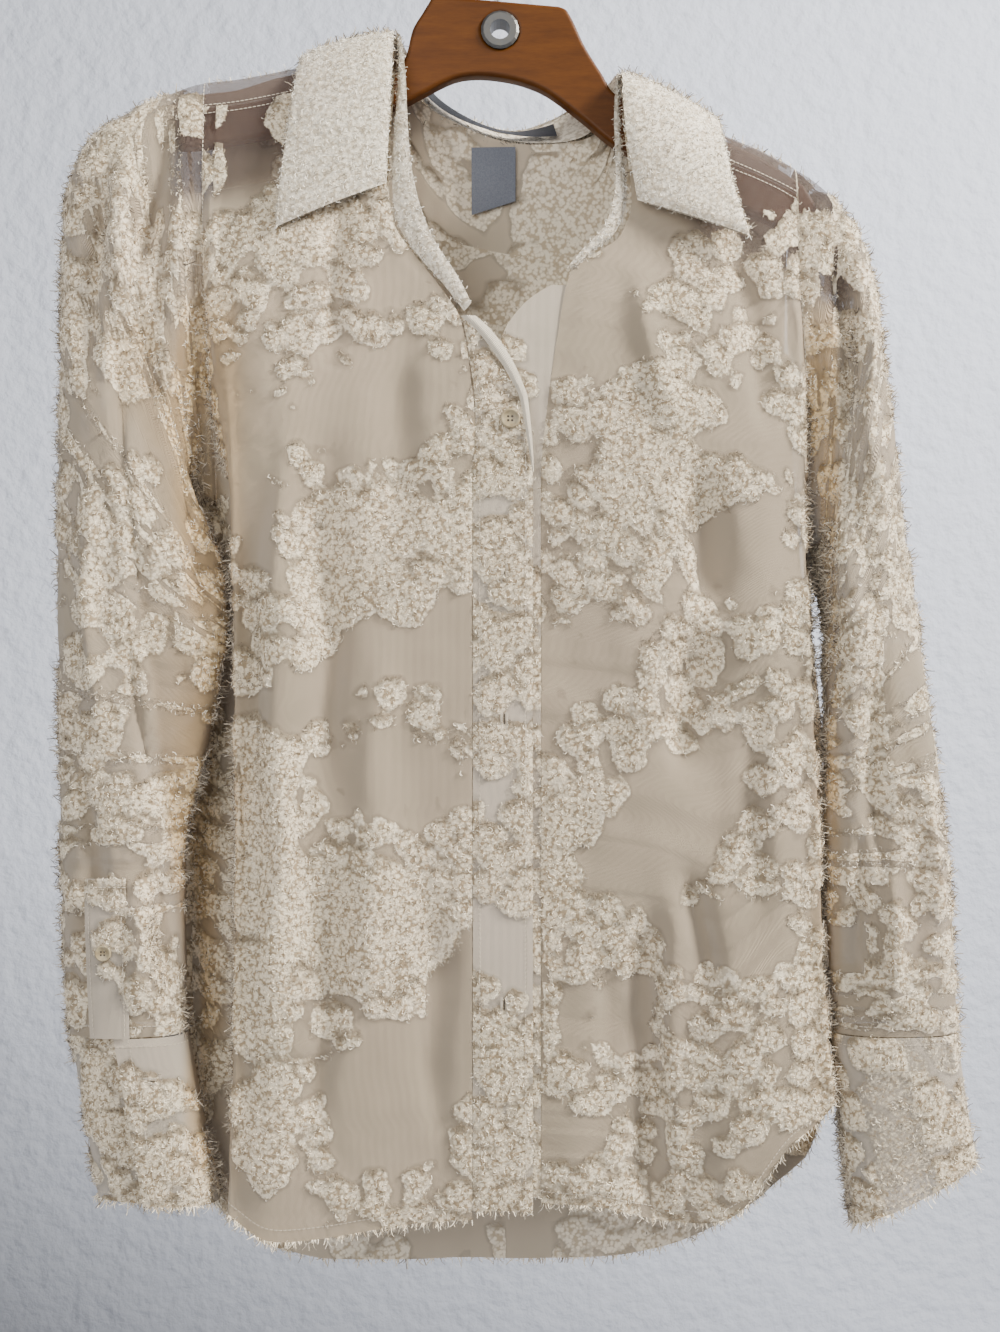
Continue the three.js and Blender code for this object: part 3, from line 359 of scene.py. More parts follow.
def sleeve_points(side, rings, shares, rows):
    """A sleeve: round from its outer side by the front, and down from the armhole to the cuff."""
    u, v = np.meshgrid(shares, rows)
    ring = v * (len(rings["ring"]) - 1)
    value = {name: read(rings, "ring", name, ring) for name in rings}
    share = (1 - np.cos(2 * np.pi * u)) / 2
    x = mix(value["topX"], value["lowX"], share)
    z = mix(value["topZ"], value["lowZ"], share)
    rounded = np.abs(np.sin(2 * np.pi * u)) ** 0.75
    swell = np.where(u <= 0.5, -value["front"], value["back"])
    along = smooth((-225 - z) / 60) * smooth((z + 650) / 60)
    step = SLEEVE_FOLD_STEP * along * smooth((x - read(SLEEVE_FOLD, "z", "x", z)) / 6)
    fold = np.where((u < 0.5) & (x < 0), step * rounded, 0)
    tube = points_of(x, mix(value["topY"], value["lowY"], share) + swell * rounded + fold, z)
    return mix(armhole_points(side, rings, u), tube, smooth(ring / 3)[..., None])


def ribbon_points(rows, first, second, shares, downs):
    """A sheet between two smooth lines through two places of each row."""
    ends = [np.stack([rows[end + axis] for axis in "XYZ"], axis=-1) for end in (first, second)]
    start, stop = (centripetal(end, shares) for end in ends)
    return mix(start[None], stop[None], np.asarray(downs)[:, None, None])


def band_points(edge, neck, gap, room, heights, shares, rows):
    u, v = np.meshgrid(shares, rows)
    z = mix(heights[0], heights[1], v)
    seam = read(neck, "z", "x", z) + gap
    loose = read(edge, "z", "x", z)
    x = mix(loose, seam, u) if gap > 0 else mix(seam, loose, u)
    return points_of(x, front_depth(ridge(x) - z) + room, z)


CUFFS = {
    "cuff_right": {"top": (-262, -194), "bottom": (-246, -175), "start": -48, "ends": (-768, -771)},
    "cuff_left": {"top": (189, 262), "bottom": (201, 273), "start": 128, "ends": (-784, -748)},
}
CUFF_TOP = -672.5
CUFF_TURN = -405
CUFF_OVERLAP = 5.4
CUFF_DEEP = 17
CUFF_Y = -14


def rounded(value):
    return np.sign(value) * np.abs(value) ** 0.8


def cuff_points(cuff, shares, rows):
    u, v = np.meshgrid(shares, rows)
    angle = np.radians(cuff["start"] + CUFF_TURN * u)
    low = mix(cuff["top"][0], cuff["bottom"][0], v)
    high = mix(cuff["top"][1], cuff["bottom"][1], v)
    grow = CUFF_OVERLAP * (u - 0.5)
    across = rounded(np.cos(angle))
    z = mix(CUFF_TOP, mix(cuff["ends"][0], cuff["ends"][1], (1 + across) / 2), v)
    x = (low + high) / 2 + ((high - low) / 2 + grow) * across
    return points_of(x, CUFF_Y + (CUFF_DEEP + grow) * rounded(np.sin(angle)), z)


# The jacquard's figures, in millimetres: leafy clumps of pile with scalloped edges on a sheer ground
CLUMP = 92
CLUMP_HIGH = 0.56 * CLUMP
SMALL_CLUMP = (0.36 * CLUMP, 0.24 * CLUMP)
CLUMP_START = 0.36
CLUMP_EDGE = 0.05
LOBE = 15
LOBE_RADIUS = (0.45, 0.3)
LOBE_REACH = (-1, 0, 1)
BEND = 6
BEND_LENGTH = 8
BARE_BLOCK = (31, 84)
BARE_SHARE = 0.07
BARE_LEVEL = -2.0
FIGURE_ORIGIN = 400

# The upper rims of the clumps are darkened with painted shadow: how deep, and how far apart their rise is
# measured
BROW_DEEP = 4.6
BROW_EDGE = 1.6
BROW_STEP = 2.0
BROW_SLOPE = 1.3

# Broad plain areas (less pile, below 0) and full areas, seen from the front or from behind
PATCHES = table(
    "side x z wide high add",
    (1, -128, -150, 60, 60, 12), (1, 147, -156, 30, 26, -26), (1, -84, -308, 38, 30, -14),
    (1, 46, -262, 32, 26, -12), (1, 132, -392, 24, 26, -14), (1, 44, -450, 30, 26, -10),
    (1, -70, -520, 40, 26, -12), (1, -76, -700, 36, 24, -12), (1, 128, -612, 32, 22, -12),
    (1, 60, -660, 26, 22, -10), (1, -146, -620, 18, 150, 10), (1, -150, -330, 18, 60, -10),
    (1, 92, -330, 46, 34, 8), (1, 30, -560, 40, 40, 8), (1, -60, -400, 60, 34, 8),
    (1, -90, -610, 50, 30, 8), (-1, 20, -200, 70, 50, 8), (-1, -40, -330, 60, 34, -12),
    (-1, 90, -520, 50, 40, -12), (-1, -90, -640, 46, 34, -12),
)
PATCHED = ("front_right", "front_left", "yoke", "back")
PATCH_EDGE = 1.5
PATCH_REACH = 176


def spaced(count, low=0.0, high=1.0):
    return np.linspace(low, high, count)


def hashed(i, j, seed):
    """A repeatable number from 0 to 1 for each whole-number place."""
    n = np.sin(i * 127.1 + j * 311.7 + seed * 74.7) * 43758.5453
    return n - np.floor(n)


def soft_noise(x, y, seed):
    i, j = np.floor(x), np.floor(y)
    fx, fy = smooth(x - i), smooth(y - j)
    low = mix(hashed(i, j, seed), hashed(i + 1, j, seed), fx)
    high = mix(hashed(i, j + 1, seed), hashed(i + 1, j + 1, seed), fx)
    return mix(low, high, fy)


def pile_level(u, v, seed, cover=0.0):
    """How far a place lies inside the clumps of pile, in millimetres, below 0 on the sheer ground."""
    u_bent = u + BEND * (soft_noise(u / BEND_LENGTH, v / BEND_LENGTH, seed + 7) - 0.5)
    v_bent = v + BEND * (soft_noise(u / BEND_LENGTH, v / BEND_LENGTH, seed + 8) - 0.5)
    i, j = np.floor(u_bent / LOBE), np.floor(v_bent / LOBE)
    level = np.full(np.shape(u), -float(LOBE))
    for across in LOBE_REACH:
        for down in LOBE_REACH:
            a, b = i + across, j + down
            middle_u = (a + hashed(a, b, seed)) * LOBE
            middle_v = (b + hashed(a, b, seed + 1)) * LOBE
            clump = 0.6 * soft_noise(middle_u / CLUMP, middle_v / CLUMP_HIGH, seed + 3)
            clump += 0.4 * soft_noise(middle_u / SMALL_CLUMP[0], middle_v / SMALL_CLUMP[1], seed + 4)
            radius = LOBE * (LOBE_RADIUS[0] + LOBE_RADIUS[1] * hashed(a, b, seed + 2))
            radius = radius * smooth((clump - CLUMP_START) / CLUMP_EDGE)
            inside = radius - np.hypot(u_bent - middle_u, v_bent - middle_v)
            level = np.maximum(level, np.where(radius > 0, inside, -LOBE))
    row = np.floor(v / BARE_BLOCK[1])
    column = np.floor(u / BARE_BLOCK[0] + 2 * hashed(row, 0, seed))
    bare = hashed(column, row, seed + 12) < BARE_SHARE
    return np.where(bare, np.minimum(level, BARE_LEVEL), level) + cover


def level_and_rim_shadow(u, v, seed, cover):
    """The pile level at a place, and how far the place is on the upper rim of a clump, from 0 to 1, which
    is where painted shadow goes.
    """
    u, v = u + FIGURE_ORIGIN, v + FIGURE_ORIGIN
    level = pile_level(u, v, seed, cover)
    lower = pile_level(u, v + BROW_STEP, seed, cover)
    rim = smooth((BROW_DEEP - level) / BROW_EDGE)
    return level, rim * smooth(BROW_SLOPE * (lower - level) / BROW_STEP)


def patched(points):
    """How much the broad patches add to the pile level of each point."""
    x, y, z = (points[..., k] for k in range(3))
    facing = np.where(y < 0, 1, -1)
    total = np.zeros(x.shape)
    for patch in rows_of(PATCHES):
        away = np.hypot((x - patch["x"]) / patch["wide"], (z - patch["z"]) / patch["high"])
        there = (facing == patch["side"]) * (np.abs(x) < PATCH_REACH)
        total += patch["add"] * smooth(PATCH_EDGE - away) * there
    return total


def cloth_lengths(points):
    """How far each point lies across and down the cloth, in millimetres."""
    across = np.linalg.norm(np.diff(points, axis=1), axis=-1).mean(axis=0)
    down = np.linalg.norm(np.diff(points, axis=0), axis=-1).mean(axis=1)
    u = np.concatenate([[0], np.cumsum(across)])
    v = np.concatenate([[0], np.cumsum(down)])
    return np.meshgrid(u, v)


def plumb_places(points):
    """Where each point lies on the cloth, across and down, for cloth whose threads hang plumb."""
    step = np.hypot(np.diff(points[..., 0], axis=1), np.diff(points[..., 1], axis=1))
    way = np.sign(points[:, 1:2, 0] - points[:, :1, 0]) * points[:, :1, 0]
    u = np.concatenate([way, way + np.cumsum(step, axis=1)], axis=1)
    return u, -points[..., 2]


def over_places(points):
    """Where each point lies on cloth that goes over the shoulders, across and down."""
    step = np.hypot(np.diff(points[..., 2], axis=0), np.diff(points[..., 1], axis=0))
    v = np.concatenate([np.zeros_like(step[:1]), np.cumsum(step, axis=0)], axis=0)
    return points[..., 0], v


def surface_normals(points, closed=False):
    if closed:
        wide = np.concatenate([points[:, -2:-1], points, points[:, 1:2]], axis=1)
        right = wide[:, 2:] - wide[:, :-2]
    else:
        right = np.gradient(points, axis=1)
    normal = np.cross(right, np.gradient(points, axis=0))
    return normal / np.maximum(np.linalg.norm(normal, axis=-1, keepdims=True), 1e-9)


def link(obj):
    bpy.context.scene.collection.objects.link(obj)
    return obj


def mesh_object(name, vertices, faces, material):
    mesh = bpy.data.meshes.new(name)
    mesh.from_pydata([tuple(p) for p in vertices], [], faces)
    mesh.update()
    mesh.shade_smooth()
    mesh.materials.append(material)
    obj = link(bpy.data.objects.new(name, mesh))
    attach(obj, "root")
    return obj


def grid_faces(high, wide, closed=False):
    j, i = np.meshgrid(np.arange(high - 1), np.arange(wide if closed else wide - 1), indexing="ij")
    after = (i + 1) % wide
    corners = [j * wide + i, (j + 1) * wide + i, (j + 1) * wide + after, j * wide + after]
    return np.stack([corner.ravel() for corner in corners], axis=1)


# Each step: where it starts, in millimetres, and how wide it is; a step below 0 goes the other way
VEIL_MIDDLE = -3
VEIL_STEPS = {"inner": (96, 22), "outer": (206, -14), "drop": (84, -20), "front": (10, -1)}
# Where the golden painted shade of the deep folds between the sleeves and the body goes
FOLD_SHADE_STEPS = {
    "right_fold": (1, 7), "right": (-150, -14), "left_outer": (193, -6), "left": (168, 8),
    "left_top": (-225, -40), "top": (-215, -60), "bottom": (-775, 40),
    "front_from": (-34, 10), "front_to": (-6, -8), "behind": (12, 4),
}
NO_PILE = -9.0


def veil(points):
    """Where the cloth lies as a single thin layer over the hanger's arms, from 0 to 1; there it is thinned,
    and darkened with painted shade.
    """
    x, z = points[..., 0], points[..., 2]
    drop = ridge(x) - z
    sides = ease(np.abs(x - VEIL_MIDDLE), *VEIL_STEPS["inner"]) * ease(np.abs(x), *VEIL_STEPS["outer"])
    return sides * ease(drop, *VEIL_STEPS["drop"]) * ease(points[..., 1], *VEIL_STEPS["front"])


def fold_shade(points):
    """How far the cloth lies in the deep folds between the sleeves and the body, from 0 to 1, which is
    where a golden painted shade goes.
    """
    x, y, z = (points[..., k] for k in range(3))
    step = FOLD_SHADE_STEPS
    past_fold = x - read(SLEEVE_FOLD, "z", "x", z)
    right = ease(past_fold, *step["right_fold"]) * ease(x, *step["right"])
    left = ease(x, *step["left_outer"]) * ease(x, *step["left"]) * ease(z, *step["left_top"])
    high = ease(z, *step["top"]) * ease(z, *step["bottom"])
    front = ease(y, *step["front_from"]) * ease(y, *step["front_to"])
    return np.where(x < 0, right, left) * high * np.maximum(front, ease(y, *step["behind"]))


def sheet_mesh(name, points, material, seed, closed=False, pile=True, cover=0.0, places=cloth_lengths,
               deep=True):
    """A piece of cloth as a grid of points, with its pile level and cloth place on each vertex."""
    u, v = places(points)
    share, rim_shadow = np.full(u.shape, NO_PILE), np.zeros(u.shape)
    if pile:
        share, rim_shadow = level_and_rim_shadow(u, v, seed, cover)
    shown = points[:, :-1] if closed else points
    high, wide = shown.shape[:2]
    faces = grid_faces(high, wide, closed)[:, ::-1]
    obj = mesh_object(name, shown.reshape(-1, 3) * MM, faces.tolist(), material)
    mesh = obj.data
    kept = share[:, :-1] if closed else share
    rim_shadow = rim_shadow[:, :-1] if closed else rim_shadow
    # The looks mark where painted shade goes: on the upper rims of the clumps, over the hanger's arms and
    # in the deep folds beside the sleeves; the veil also thins the cloth
    looks = {"pile": kept, "rim_shadow": rim_shadow, "veil": veil(shown), "fold_shade": fold_shade(shown) * deep}
    for key, value in looks.items():
        layer = mesh.attributes.new(key, "FLOAT", "POINT")
        layer.data.foreach_set("value", value.ravel().astype(np.float32))
    uv = mesh.uv_layers.new(name="cloth")
    loops = np.empty(len(mesh.loops), int)
    mesh.loops.foreach_get("vertex_index", loops)
    rows, columns = loops // wide, loops % wide
    coords = np.stack([u[rows, columns], v[rows, columns]], axis=1) * MM
    if closed:
        seam = columns == 0
        face_of = np.repeat(np.arange(len(faces)), 4)
        last = (columns.reshape(-1, 4) == wide - 1).any(axis=1)[face_of]
        coords[seam & last, 0] = u[rows[seam & last], -1] * MM
    uv.data.foreach_set("uv", coords.ravel().astype(np.float32))
    return obj, (u, v)


def quad_mesh(name, vertices, quads, material, values=None):
    """A large mesh of four-sided faces, made from arrays."""
    mesh = bpy.data.meshes.new(name)
    mesh.vertices.add(len(vertices))
    mesh.vertices.foreach_set("co", np.asarray(vertices, np.float32).ravel())
    mesh.loops.add(quads.size)
    mesh.loops.foreach_set("vertex_index", quads.ravel().astype(np.int32))
    mesh.polygons.add(len(quads))
    mesh.polygons.foreach_set("loop_start", np.arange(0, quads.size, 4, dtype=np.int32))
    mesh.update(calc_edges=True)
    mesh.validate()
    mesh.shade_smooth()
    for key, value in (values or {}).items():
        layer = mesh.attributes.new(key, "FLOAT", "POINT")
        layer.data.foreach_set("value", np.asarray(value, np.float32))
    mesh.materials.append(material)
    obj = link(bpy.data.objects.new(name, mesh))
    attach(obj, "root")
    return obj


YARN_STEPS = 2
YARN_TURN = 1.5
YARN_HALF = 0.3
YARN_TAPER = 0.35
YARN_EDGE = 0.1
YARN_FOOT = 0.15
YARN_END = 1.15                  # above 1, so that the far end comes back down to the cloth
BROW_SHADE = 0.92
PILE_FROM = 0.3                  # the pile level at which yarns start
RAGGED = 1.6
RAGGED_LENGTH = 2.4


def ribbon_mesh(name, rings, tint, material):
    """Ribbons in one mesh: rings lists the two edges of each ribbon at each step, tint is one a ribbon."""
    vertices = np.stack(rings, axis=1).reshape(-1, 3) * MM
    steps = len(rings) // 2 - 1
    tints = {"tint": np.repeat(tint, len(rings))}
    return quad_mesh(name, vertices, ladders(len(tint), steps), material, tints)


def yarn_mesh(name, places, across, down, normal, sizes, rise, material, rim_shadow):
    """Short curled yarns, each a ribbon of a few faces that leaves the cloth and comes back to it."""
    count = len(places)
    heading = rng.uniform(0, 2 * np.pi, count)
    turn = rng.choice([-1, 1], count) * rng.uniform(0.5, 1.3, count) * YARN_TURN
    point = places.copy()
    # Yarns on the upper rims of the clumps get painted shadow: their tint is lowered
    tint = rng.uniform(0, 1, count) * (1 - BROW_SHADE * rim_shadow)
    rings = []
    for step in range(YARN_STEPS + 1):
        t = step / YARN_STEPS
        angle = heading + turn * t * 2
        ahead = np.cos(angle)[:, None] * across + np.sin(angle)[:, None] * down
        aside = np.cross(normal, ahead)
        if step:
            point = point + ahead * (sizes / YARN_STEPS)[:, None]
        height = rise * (YARN_FOOT + np.sin(np.pi * min(t * YARN_END, 1)))
        half = YARN_HALF * (1 - YARN_TAPER * t) * aside + YARN_EDGE * normal
        lifted = point + normal * height[:, None]
        rings += [lifted - half, lifted + half]
    return ribbon_mesh(name, rings, tint, material)


def scatter(points, lengths, normals, seed, per_mm2, cover):
    """Random places over the pile areas of a grid of points."""
    right = points[:-1, 1:] - points[:-1, :-1]
    below = points[1:, :-1] - points[:-1, :-1]
    wanted = np.linalg.norm(np.cross(right, below), axis=-1) * per_mm2
    number = np.floor(wanted + rng.uniform(0, 1, wanted.shape)).astype(int)
    j, i = (np.repeat(k, number[np.nonzero(number)]) for k in np.nonzero(number))
    a, b = rng.uniform(0, 1, len(j)), rng.uniform(0, 1, len(j))
    u, v = (mix(mix(each[j, i], each[j, i + 1], a), mix(each[j + 1, i], each[j + 1, i + 1], a), b)
            for each in lengths)
    ragged = RAGGED * (soft_noise(u / RAGGED_LENGTH, v / RAGGED_LENGTH, seed + 30) - 0.5)
    level, rim_shadow = level_and_rim_shadow(u, v, seed, cover[j, i])
    kept = level + ragged > PILE_FROM
    j, i, a, b = j[kept], i[kept], a[kept, None], b[kept, None]
    place = points[j, i] + a * right[j, i] + b * below[j, i]
    along = right[j, i] / np.maximum(np.linalg.norm(right[j, i], axis=-1, keepdims=True), 1e-9)
    return place, along, np.cross(normals[j, i], along), normals[j, i], rim_shadow[kept]


def node_tree(name):
    material = bpy.data.materials.new(name)
    material.use_nodes = True
    tree = material.node_tree
    return material, tree, tree.nodes["Principled BSDF"]


def feed(tree, socket, value):
    """Gives a socket its value: another socket's, a number, or a colour of three numbers."""
    if isinstance(value, bpy.types.NodeSocket):
        tree.links.new(value, socket)
    else:
        socket.default_value = (*value, 1) if isinstance(value, tuple) else value


def add_node(tree, kind, **values):
    node = tree.nodes.new(kind)
    for key, value in values.items():
        if key.replace("_", " ") in node.inputs:
            feed(tree, node.inputs[key.replace("_", " ")], value)
        else:
            setattr(node, key, value)
    return node


def set_inputs(tree, shader, **values):
    for key, value in values.items():
        feed(tree, shader.inputs[key.replace("_", " ")], value)


def ramp(tree, factor, *stops):
    node = tree.nodes.new("ShaderNodeValToRGB")
    tree.links.new(factor, node.inputs["Fac"])
    elements = node.color_ramp.elements
    for i, (place, colour) in enumerate(stops):
        element = elements[i] if i < 2 else elements.new(place)
        element.position = place
        element.color = (*colour, 1)
    return node.outputs["Color"]


def mixed(tree, factor, first, second, kind="MIX"):
    node = tree.nodes.new("ShaderNodeMix")
    node.data_type = "RGBA"
    node.blend_type = kind
    for number, value in ((0, factor), (6, first), (7, second)):
        feed(tree, node.inputs[number], value)
    return node.outputs[2]


def maths(tree, operation, first, second=0.0):
    node = tree.nodes.new("ShaderNodeMath")
    node.operation = operation
    for socket, value in zip(node.inputs, (first, second)):
        feed(tree, socket, value)
    return node.outputs[0]


def product(tree, first, second):
    return maths(tree, "MULTIPLY", first, second)


def total(tree, first, second):
    return maths(tree, "ADD", first, second)


def limited(tree, value, low, high):
    """0 below low and 1 above high, with a straight line between."""
    node = add_node(tree, "ShaderNodeMapRange", Value=value, From_Min=low, From_Max=high)
    return node.outputs["Result"]


def attribute(tree, name):
    return add_node(tree, "ShaderNodeAttribute", attribute_name=name).outputs["Fac"]


def noise(tree, place, scale, detail):
    return add_node(tree, "ShaderNodeTexNoise", Vector=place, Scale=scale, Detail=detail).outputs["Fac"]


def bumped(tree, height, strength, distance):
    node = add_node(tree, "ShaderNodeBump", Height=height, Strength=strength, Distance=distance)
    return node.outputs["Normal"]


def dimmed(colour, by):
    return tuple(by * c for c in colour)


# The scales of the cloth's procedural textures, for each metre
SCALES = {"fine": 620.0, "knots": 260.0, "curls": 430.0, "broad": 14.0, "weave": 480.0}
VEIL_THINS = 0.42
# Painted shade over the hanger's arms, standing in for the shade there and the dark wood seen through: how
# much, and its colour
VEIL_SHADE_SHARE = 0.85
VEIL_SHADE_TINT = (0.13, 0.095, 0.095)
# Painted shade: the golden tint in the deep folds beside the sleeves
FOLD_SHADE_TINT = (0.97, 0.83, 0.62)
# Painted highlight: a lighter colour along the rims of the clumps
RIM_HIGHLIGHT_SHARE = 0.35
RIM_HIGHLIGHT_COLOUR = (0.88, 0.80, 0.66)
# Painted shadow on the upper rims of the clumps: how much, and how dark
BROW_SHADOW_SHARE = 0.85
BROW_SHADOW_DARK = 0.55
# Painted shadow on the ground just outside the clumps: how much, and how dark
EDGE_SHADOW_SHARE = 0.42
EDGE_SHADOW_DARK = 0.4


def jacquard(name, ground, yarn, shade, ground_alpha):
    """Sheer ground cloth and dense pile, told apart by how far each vertex lies inside the pile."""
    material, tree, shader = node_tree(name)
    place = add_node(tree, "ShaderNodeTexCoord").outputs["Object"]
    level = attribute(tree, "pile")
    rim_shadow = attribute(tree, "rim_shadow")
    thin = attribute(tree, "veil")
    deep = attribute(tree, "fold_shade")
    fine = noise(tree, place, SCALES["fine"], 3.0)
    knots = noise(tree, place, SCALES["knots"], 2.0)
    broad = noise(tree, place, SCALES["broad"], 2.0)
    curls = add_node(tree, "ShaderNodeTexVoronoi", Vector=place, Scale=SCALES["curls"]).outputs["Distance"]
    ragged = total(tree, level, product(tree, maths(tree, "SUBTRACT", fine, 0.5), 3.0))
    share = limited(tree, ragged, -0.3, 0.5)
    speck = total(tree, product(tree, knots, 0.6), product(tree, curls, 0.5))
    rim = product(tree, limited(tree, level, 0.2, 1.2), limited(tree, level, 3.4, 1.8))
    pile = mixed(tree, limited(tree, speck, 0.50, 0.66), yarn, shade)
    # painted highlight along the rims of the clumps
    pile = mixed(tree, product(tree, rim, RIM_HIGHLIGHT_SHARE), pile, RIM_HIGHLIGHT_COLOUR)
    # painted shadow on the upper rims of the clumps
    pile = mixed(tree, product(tree, rim_shadow, BROW_SHADOW_SHARE), pile, dimmed(shade, BROW_SHADOW_DARK))
    # painted shadow on the ground around the clumps
    edge = product(tree, limited(tree, level, -2.2, -0.4), EDGE_SHADOW_SHARE)
    under = mixed(tree, edge, ground, dimmed(ground, EDGE_SHADOW_DARK))
    # painted shade over the hanger's arms
    under = mixed(tree, product(tree, thin, VEIL_SHADE_SHARE), under, VEIL_SHADE_TINT)
    tone = ramp(tree, broad, (0.3, (0.88, 0.87, 0.84)), (0.7, (1.0, 0.97, 0.95)))
    colour = mixed(tree, 1.0, mixed(tree, share, under, pile), tone, "MULTIPLY")
    # golden painted shade in the deep folds beside the sleeves
    colour = mixed(tree, deep, colour, mixed(tree, 1.0, colour, FOLD_SHADE_TINT, "MULTIPLY"))
    ground_solid = maths(tree, "SUBTRACT", ground_alpha, product(tree, thin, VEIL_THINS))
    bare = product(tree, maths(tree, "SUBTRACT", 1.0, share), ground_solid)
    weave_place = add_node(tree, "ShaderNodeUVMap", uv_map="cloth").outputs["UV"]
    weave = add_node(tree, "ShaderNodeTexWave", Vector=weave_place, Scale=SCALES["weave"], Distortion=0.4)
    bumps = total(tree, product(tree, fine, 0.6), product(tree, knots, 1.0))
    relief = mixed(tree, share, weave.outputs["Color"], bumps)
    set_inputs(tree, shader, Base_Color=colour, Alpha=total(tree, bare, share),
               Normal=bumped(tree, relief, 0.6, 0.0012), Roughness=0.72, Sheen_Weight=0.25,
               Sheen_Roughness=0.45, Specular_IOR_Level=0.25)
    return material


def yarn_material(name, light, dark):
    material, tree, shader = node_tree(name)
    stops = ((0.0, dimmed(dark, 0.5)), (0.13, dark), (0.45, light), (1.0, light))
    set_inputs(tree, shader, Base_Color=ramp(tree, attribute(tree, "tint"), *stops),
               Roughness=0.6, Sheen_Weight=0.3, Specular_IOR_Level=0.35)
    return material


GROUND = (0.54, 0.445, 0.33)
YARN = (0.87, 0.765, 0.585)
SHADE = (0.38, 0.295, 0.19)
cloth = jacquard("sheer_jacquard", GROUND, YARN, SHADE, 0.86)
# Painted light: a lighter, warmer, opaque copy of the jacquard for the yoke and back, standing in for the
# light the sheer cloth lets into the shirt
lit_back_cloth = jacquard("lit_back_jacquard", (0.72, 0.61, 0.465), (0.92, 0.82, 0.65), (0.54, 0.44, 0.31), 1.0)
collar_cloth = jacquard("collar_jacquard", (0.86, 0.78, 0.64), (0.93, 0.86, 0.72), (0.60, 0.52, 0.40), 1.0)
band_cloth = jacquard("band_jacquard", (0.64, 0.56, 0.46), YARN, SHADE, 0.9)
yarn = yarn_material("clipped_yarn", (0.93, 0.83, 0.655), (0.40, 0.315, 0.21))
# Painted shade: darker golden yarns for the strips that show the back's inner face in the deep folds
shade_yarn = yarn_material("fold_shade_yarn", (0.80, 0.64, 0.43), (0.36, 0.26, 0.155))
# Painted shade: the loose yarn ends are darker than the pile's yarn, standing in for their backlit look and
# the shadows they cast
shaded_fringe_yarn = yarn_material("shaded_loose_yarn", (0.56, 0.48, 0.37), (0.13, 0.10, 0.075))
white_yarn = yarn_material("collar_yarn", (0.96, 0.91, 0.79), (0.64, 0.56, 0.44))


def plain(name, colour, rough=0.5, metal=0.0, grain=None):
    """A surface of one colour, with soft specks of a second colour where grain gives one."""
    material, tree, shader = node_tree(name)
    set_inputs(tree, shader, Base_Color=colour, Roughness=rough, Metallic=metal)
    if grain:
        specks = noise(tree, add_node(tree, "ShaderNodeTexCoord").outputs["Object"], grain[1], 4.0)
        set_inputs(tree, shader, Base_Color=ramp(tree, specks, (0.35, colour), (0.7, grain[0])),
                   Normal=bumped(tree, specks, 0.25, 0.0004))
    return material


def wood_material():
    """Orange-brown lacquered wood: long grain along the arms under a clear coat."""
    material, tree, shader = node_tree("lacquered_wood")
    place = add_node(tree, "ShaderNodeTexCoord").outputs["Object"]
    along = add_node(tree, "ShaderNodeMapping", Vector=place)
    along.inputs["Scale"].default_value = (9, 60, 60)
    grain = noise(tree, along.outputs["Vector"], 3.0, 7.0)
    fine = noise(tree, along.outputs["Vector"], 22.0, 3.0)
    body = ramp(tree, grain, (0.3, (0.075, 0.022, 0.0015)), (0.66, (0.108, 0.034, 0.0025)))
    dark = ramp(tree, fine, (0.35, (0.78, 0.74, 0.70)), (0.6, (1.0, 1.0, 1.0)))
    set_inputs(tree, shader, Base_Color=mixed(tree, 0.5, body, dark, "MULTIPLY"), Roughness=0.5,
               Specular_IOR_Level=0.18, Coat_Weight=0.05, Coat_Roughness=0.25)
    return material


horn = plain("button_horn", (0.40, 0.33, 0.20), 0.3, grain=((0.24, 0.18, 0.10), 260.0))
black_label = plain("label_black", (0.012, 0.011, 0.012), 0.55, grain=((0.03, 0.028, 0.03), 900.0))
slate_label = plain("label_slate", (0.105, 0.115, 0.145), 0.6, grain=((0.15, 0.16, 0.19), 1200.0))
wood = wood_material()
eyelet_metal = plain("eyelet_metal", (0.13, 0.125, 0.115), 0.45, 0.8, grain=((0.12, 0.12, 0.12), 500.0))
hook_metal = plain("hook_wire", (0.72, 0.72, 0.74), 0.16, 1.0)
sewing_thread = plain("sewing_thread", (0.60, 0.52, 0.41), 0.7)

# Creases: a soft trough where deep is above 0 and a ridge where it is below 0
CREASES = table(
    "side fromX fromZ toX toZ deep wide",
    (1, 104, -330, 118, -432, 4.2, 9), (1, 110, -428, 94, -530, 4.6, 10),
    (1, 100, -560, 115, -664, 4, 9), (1, 92, -570, 95, -800, -3, 8), (1, 77, -580, 79, -800, 3.4, 8),
    (1, 128, -190, 150, -330, 3, 9), (1, 142, -440, 138, -640, 2.6, 10),
    (1, 70, -210, 92, -330, -2.4, 10), (1, 56, -600, 50, -760, 2, 9),
    (1, -112, -300, -106, -560, 3.4, 12), (1, -106, -540, -114, -760, 3, 12),
    (1, -132, -260, -136, -720, -3, 10), (1, -78, -420, -84, -690, -2.6, 12),
    (1, -60, -250, -72, -400, 2.4, 11), (1, -48, -560, -44, -750, 2, 9),
    (1, -150, -330, -152, -620, 2.4, 7), (1, -96, -160, -110, -290, 2.6, 9),
    (-1, -96, -230, -88, -500, 3.6, 14), (-1, -70, -480, -78, -770, 3, 13),
    (-1, 20, -260, 30, -560, -3.2, 15), (-1, 84, -230, 76, -470, 3.4, 13),
    (-1, 104, -450, 98, -740, 3, 12), (-1, -20, -560, -12, -780, 2.6, 12),
    (-1, -140, -280, -134, -620, -3, 11), (-1, 140, -300, 134, -600, -2.6, 11),
)
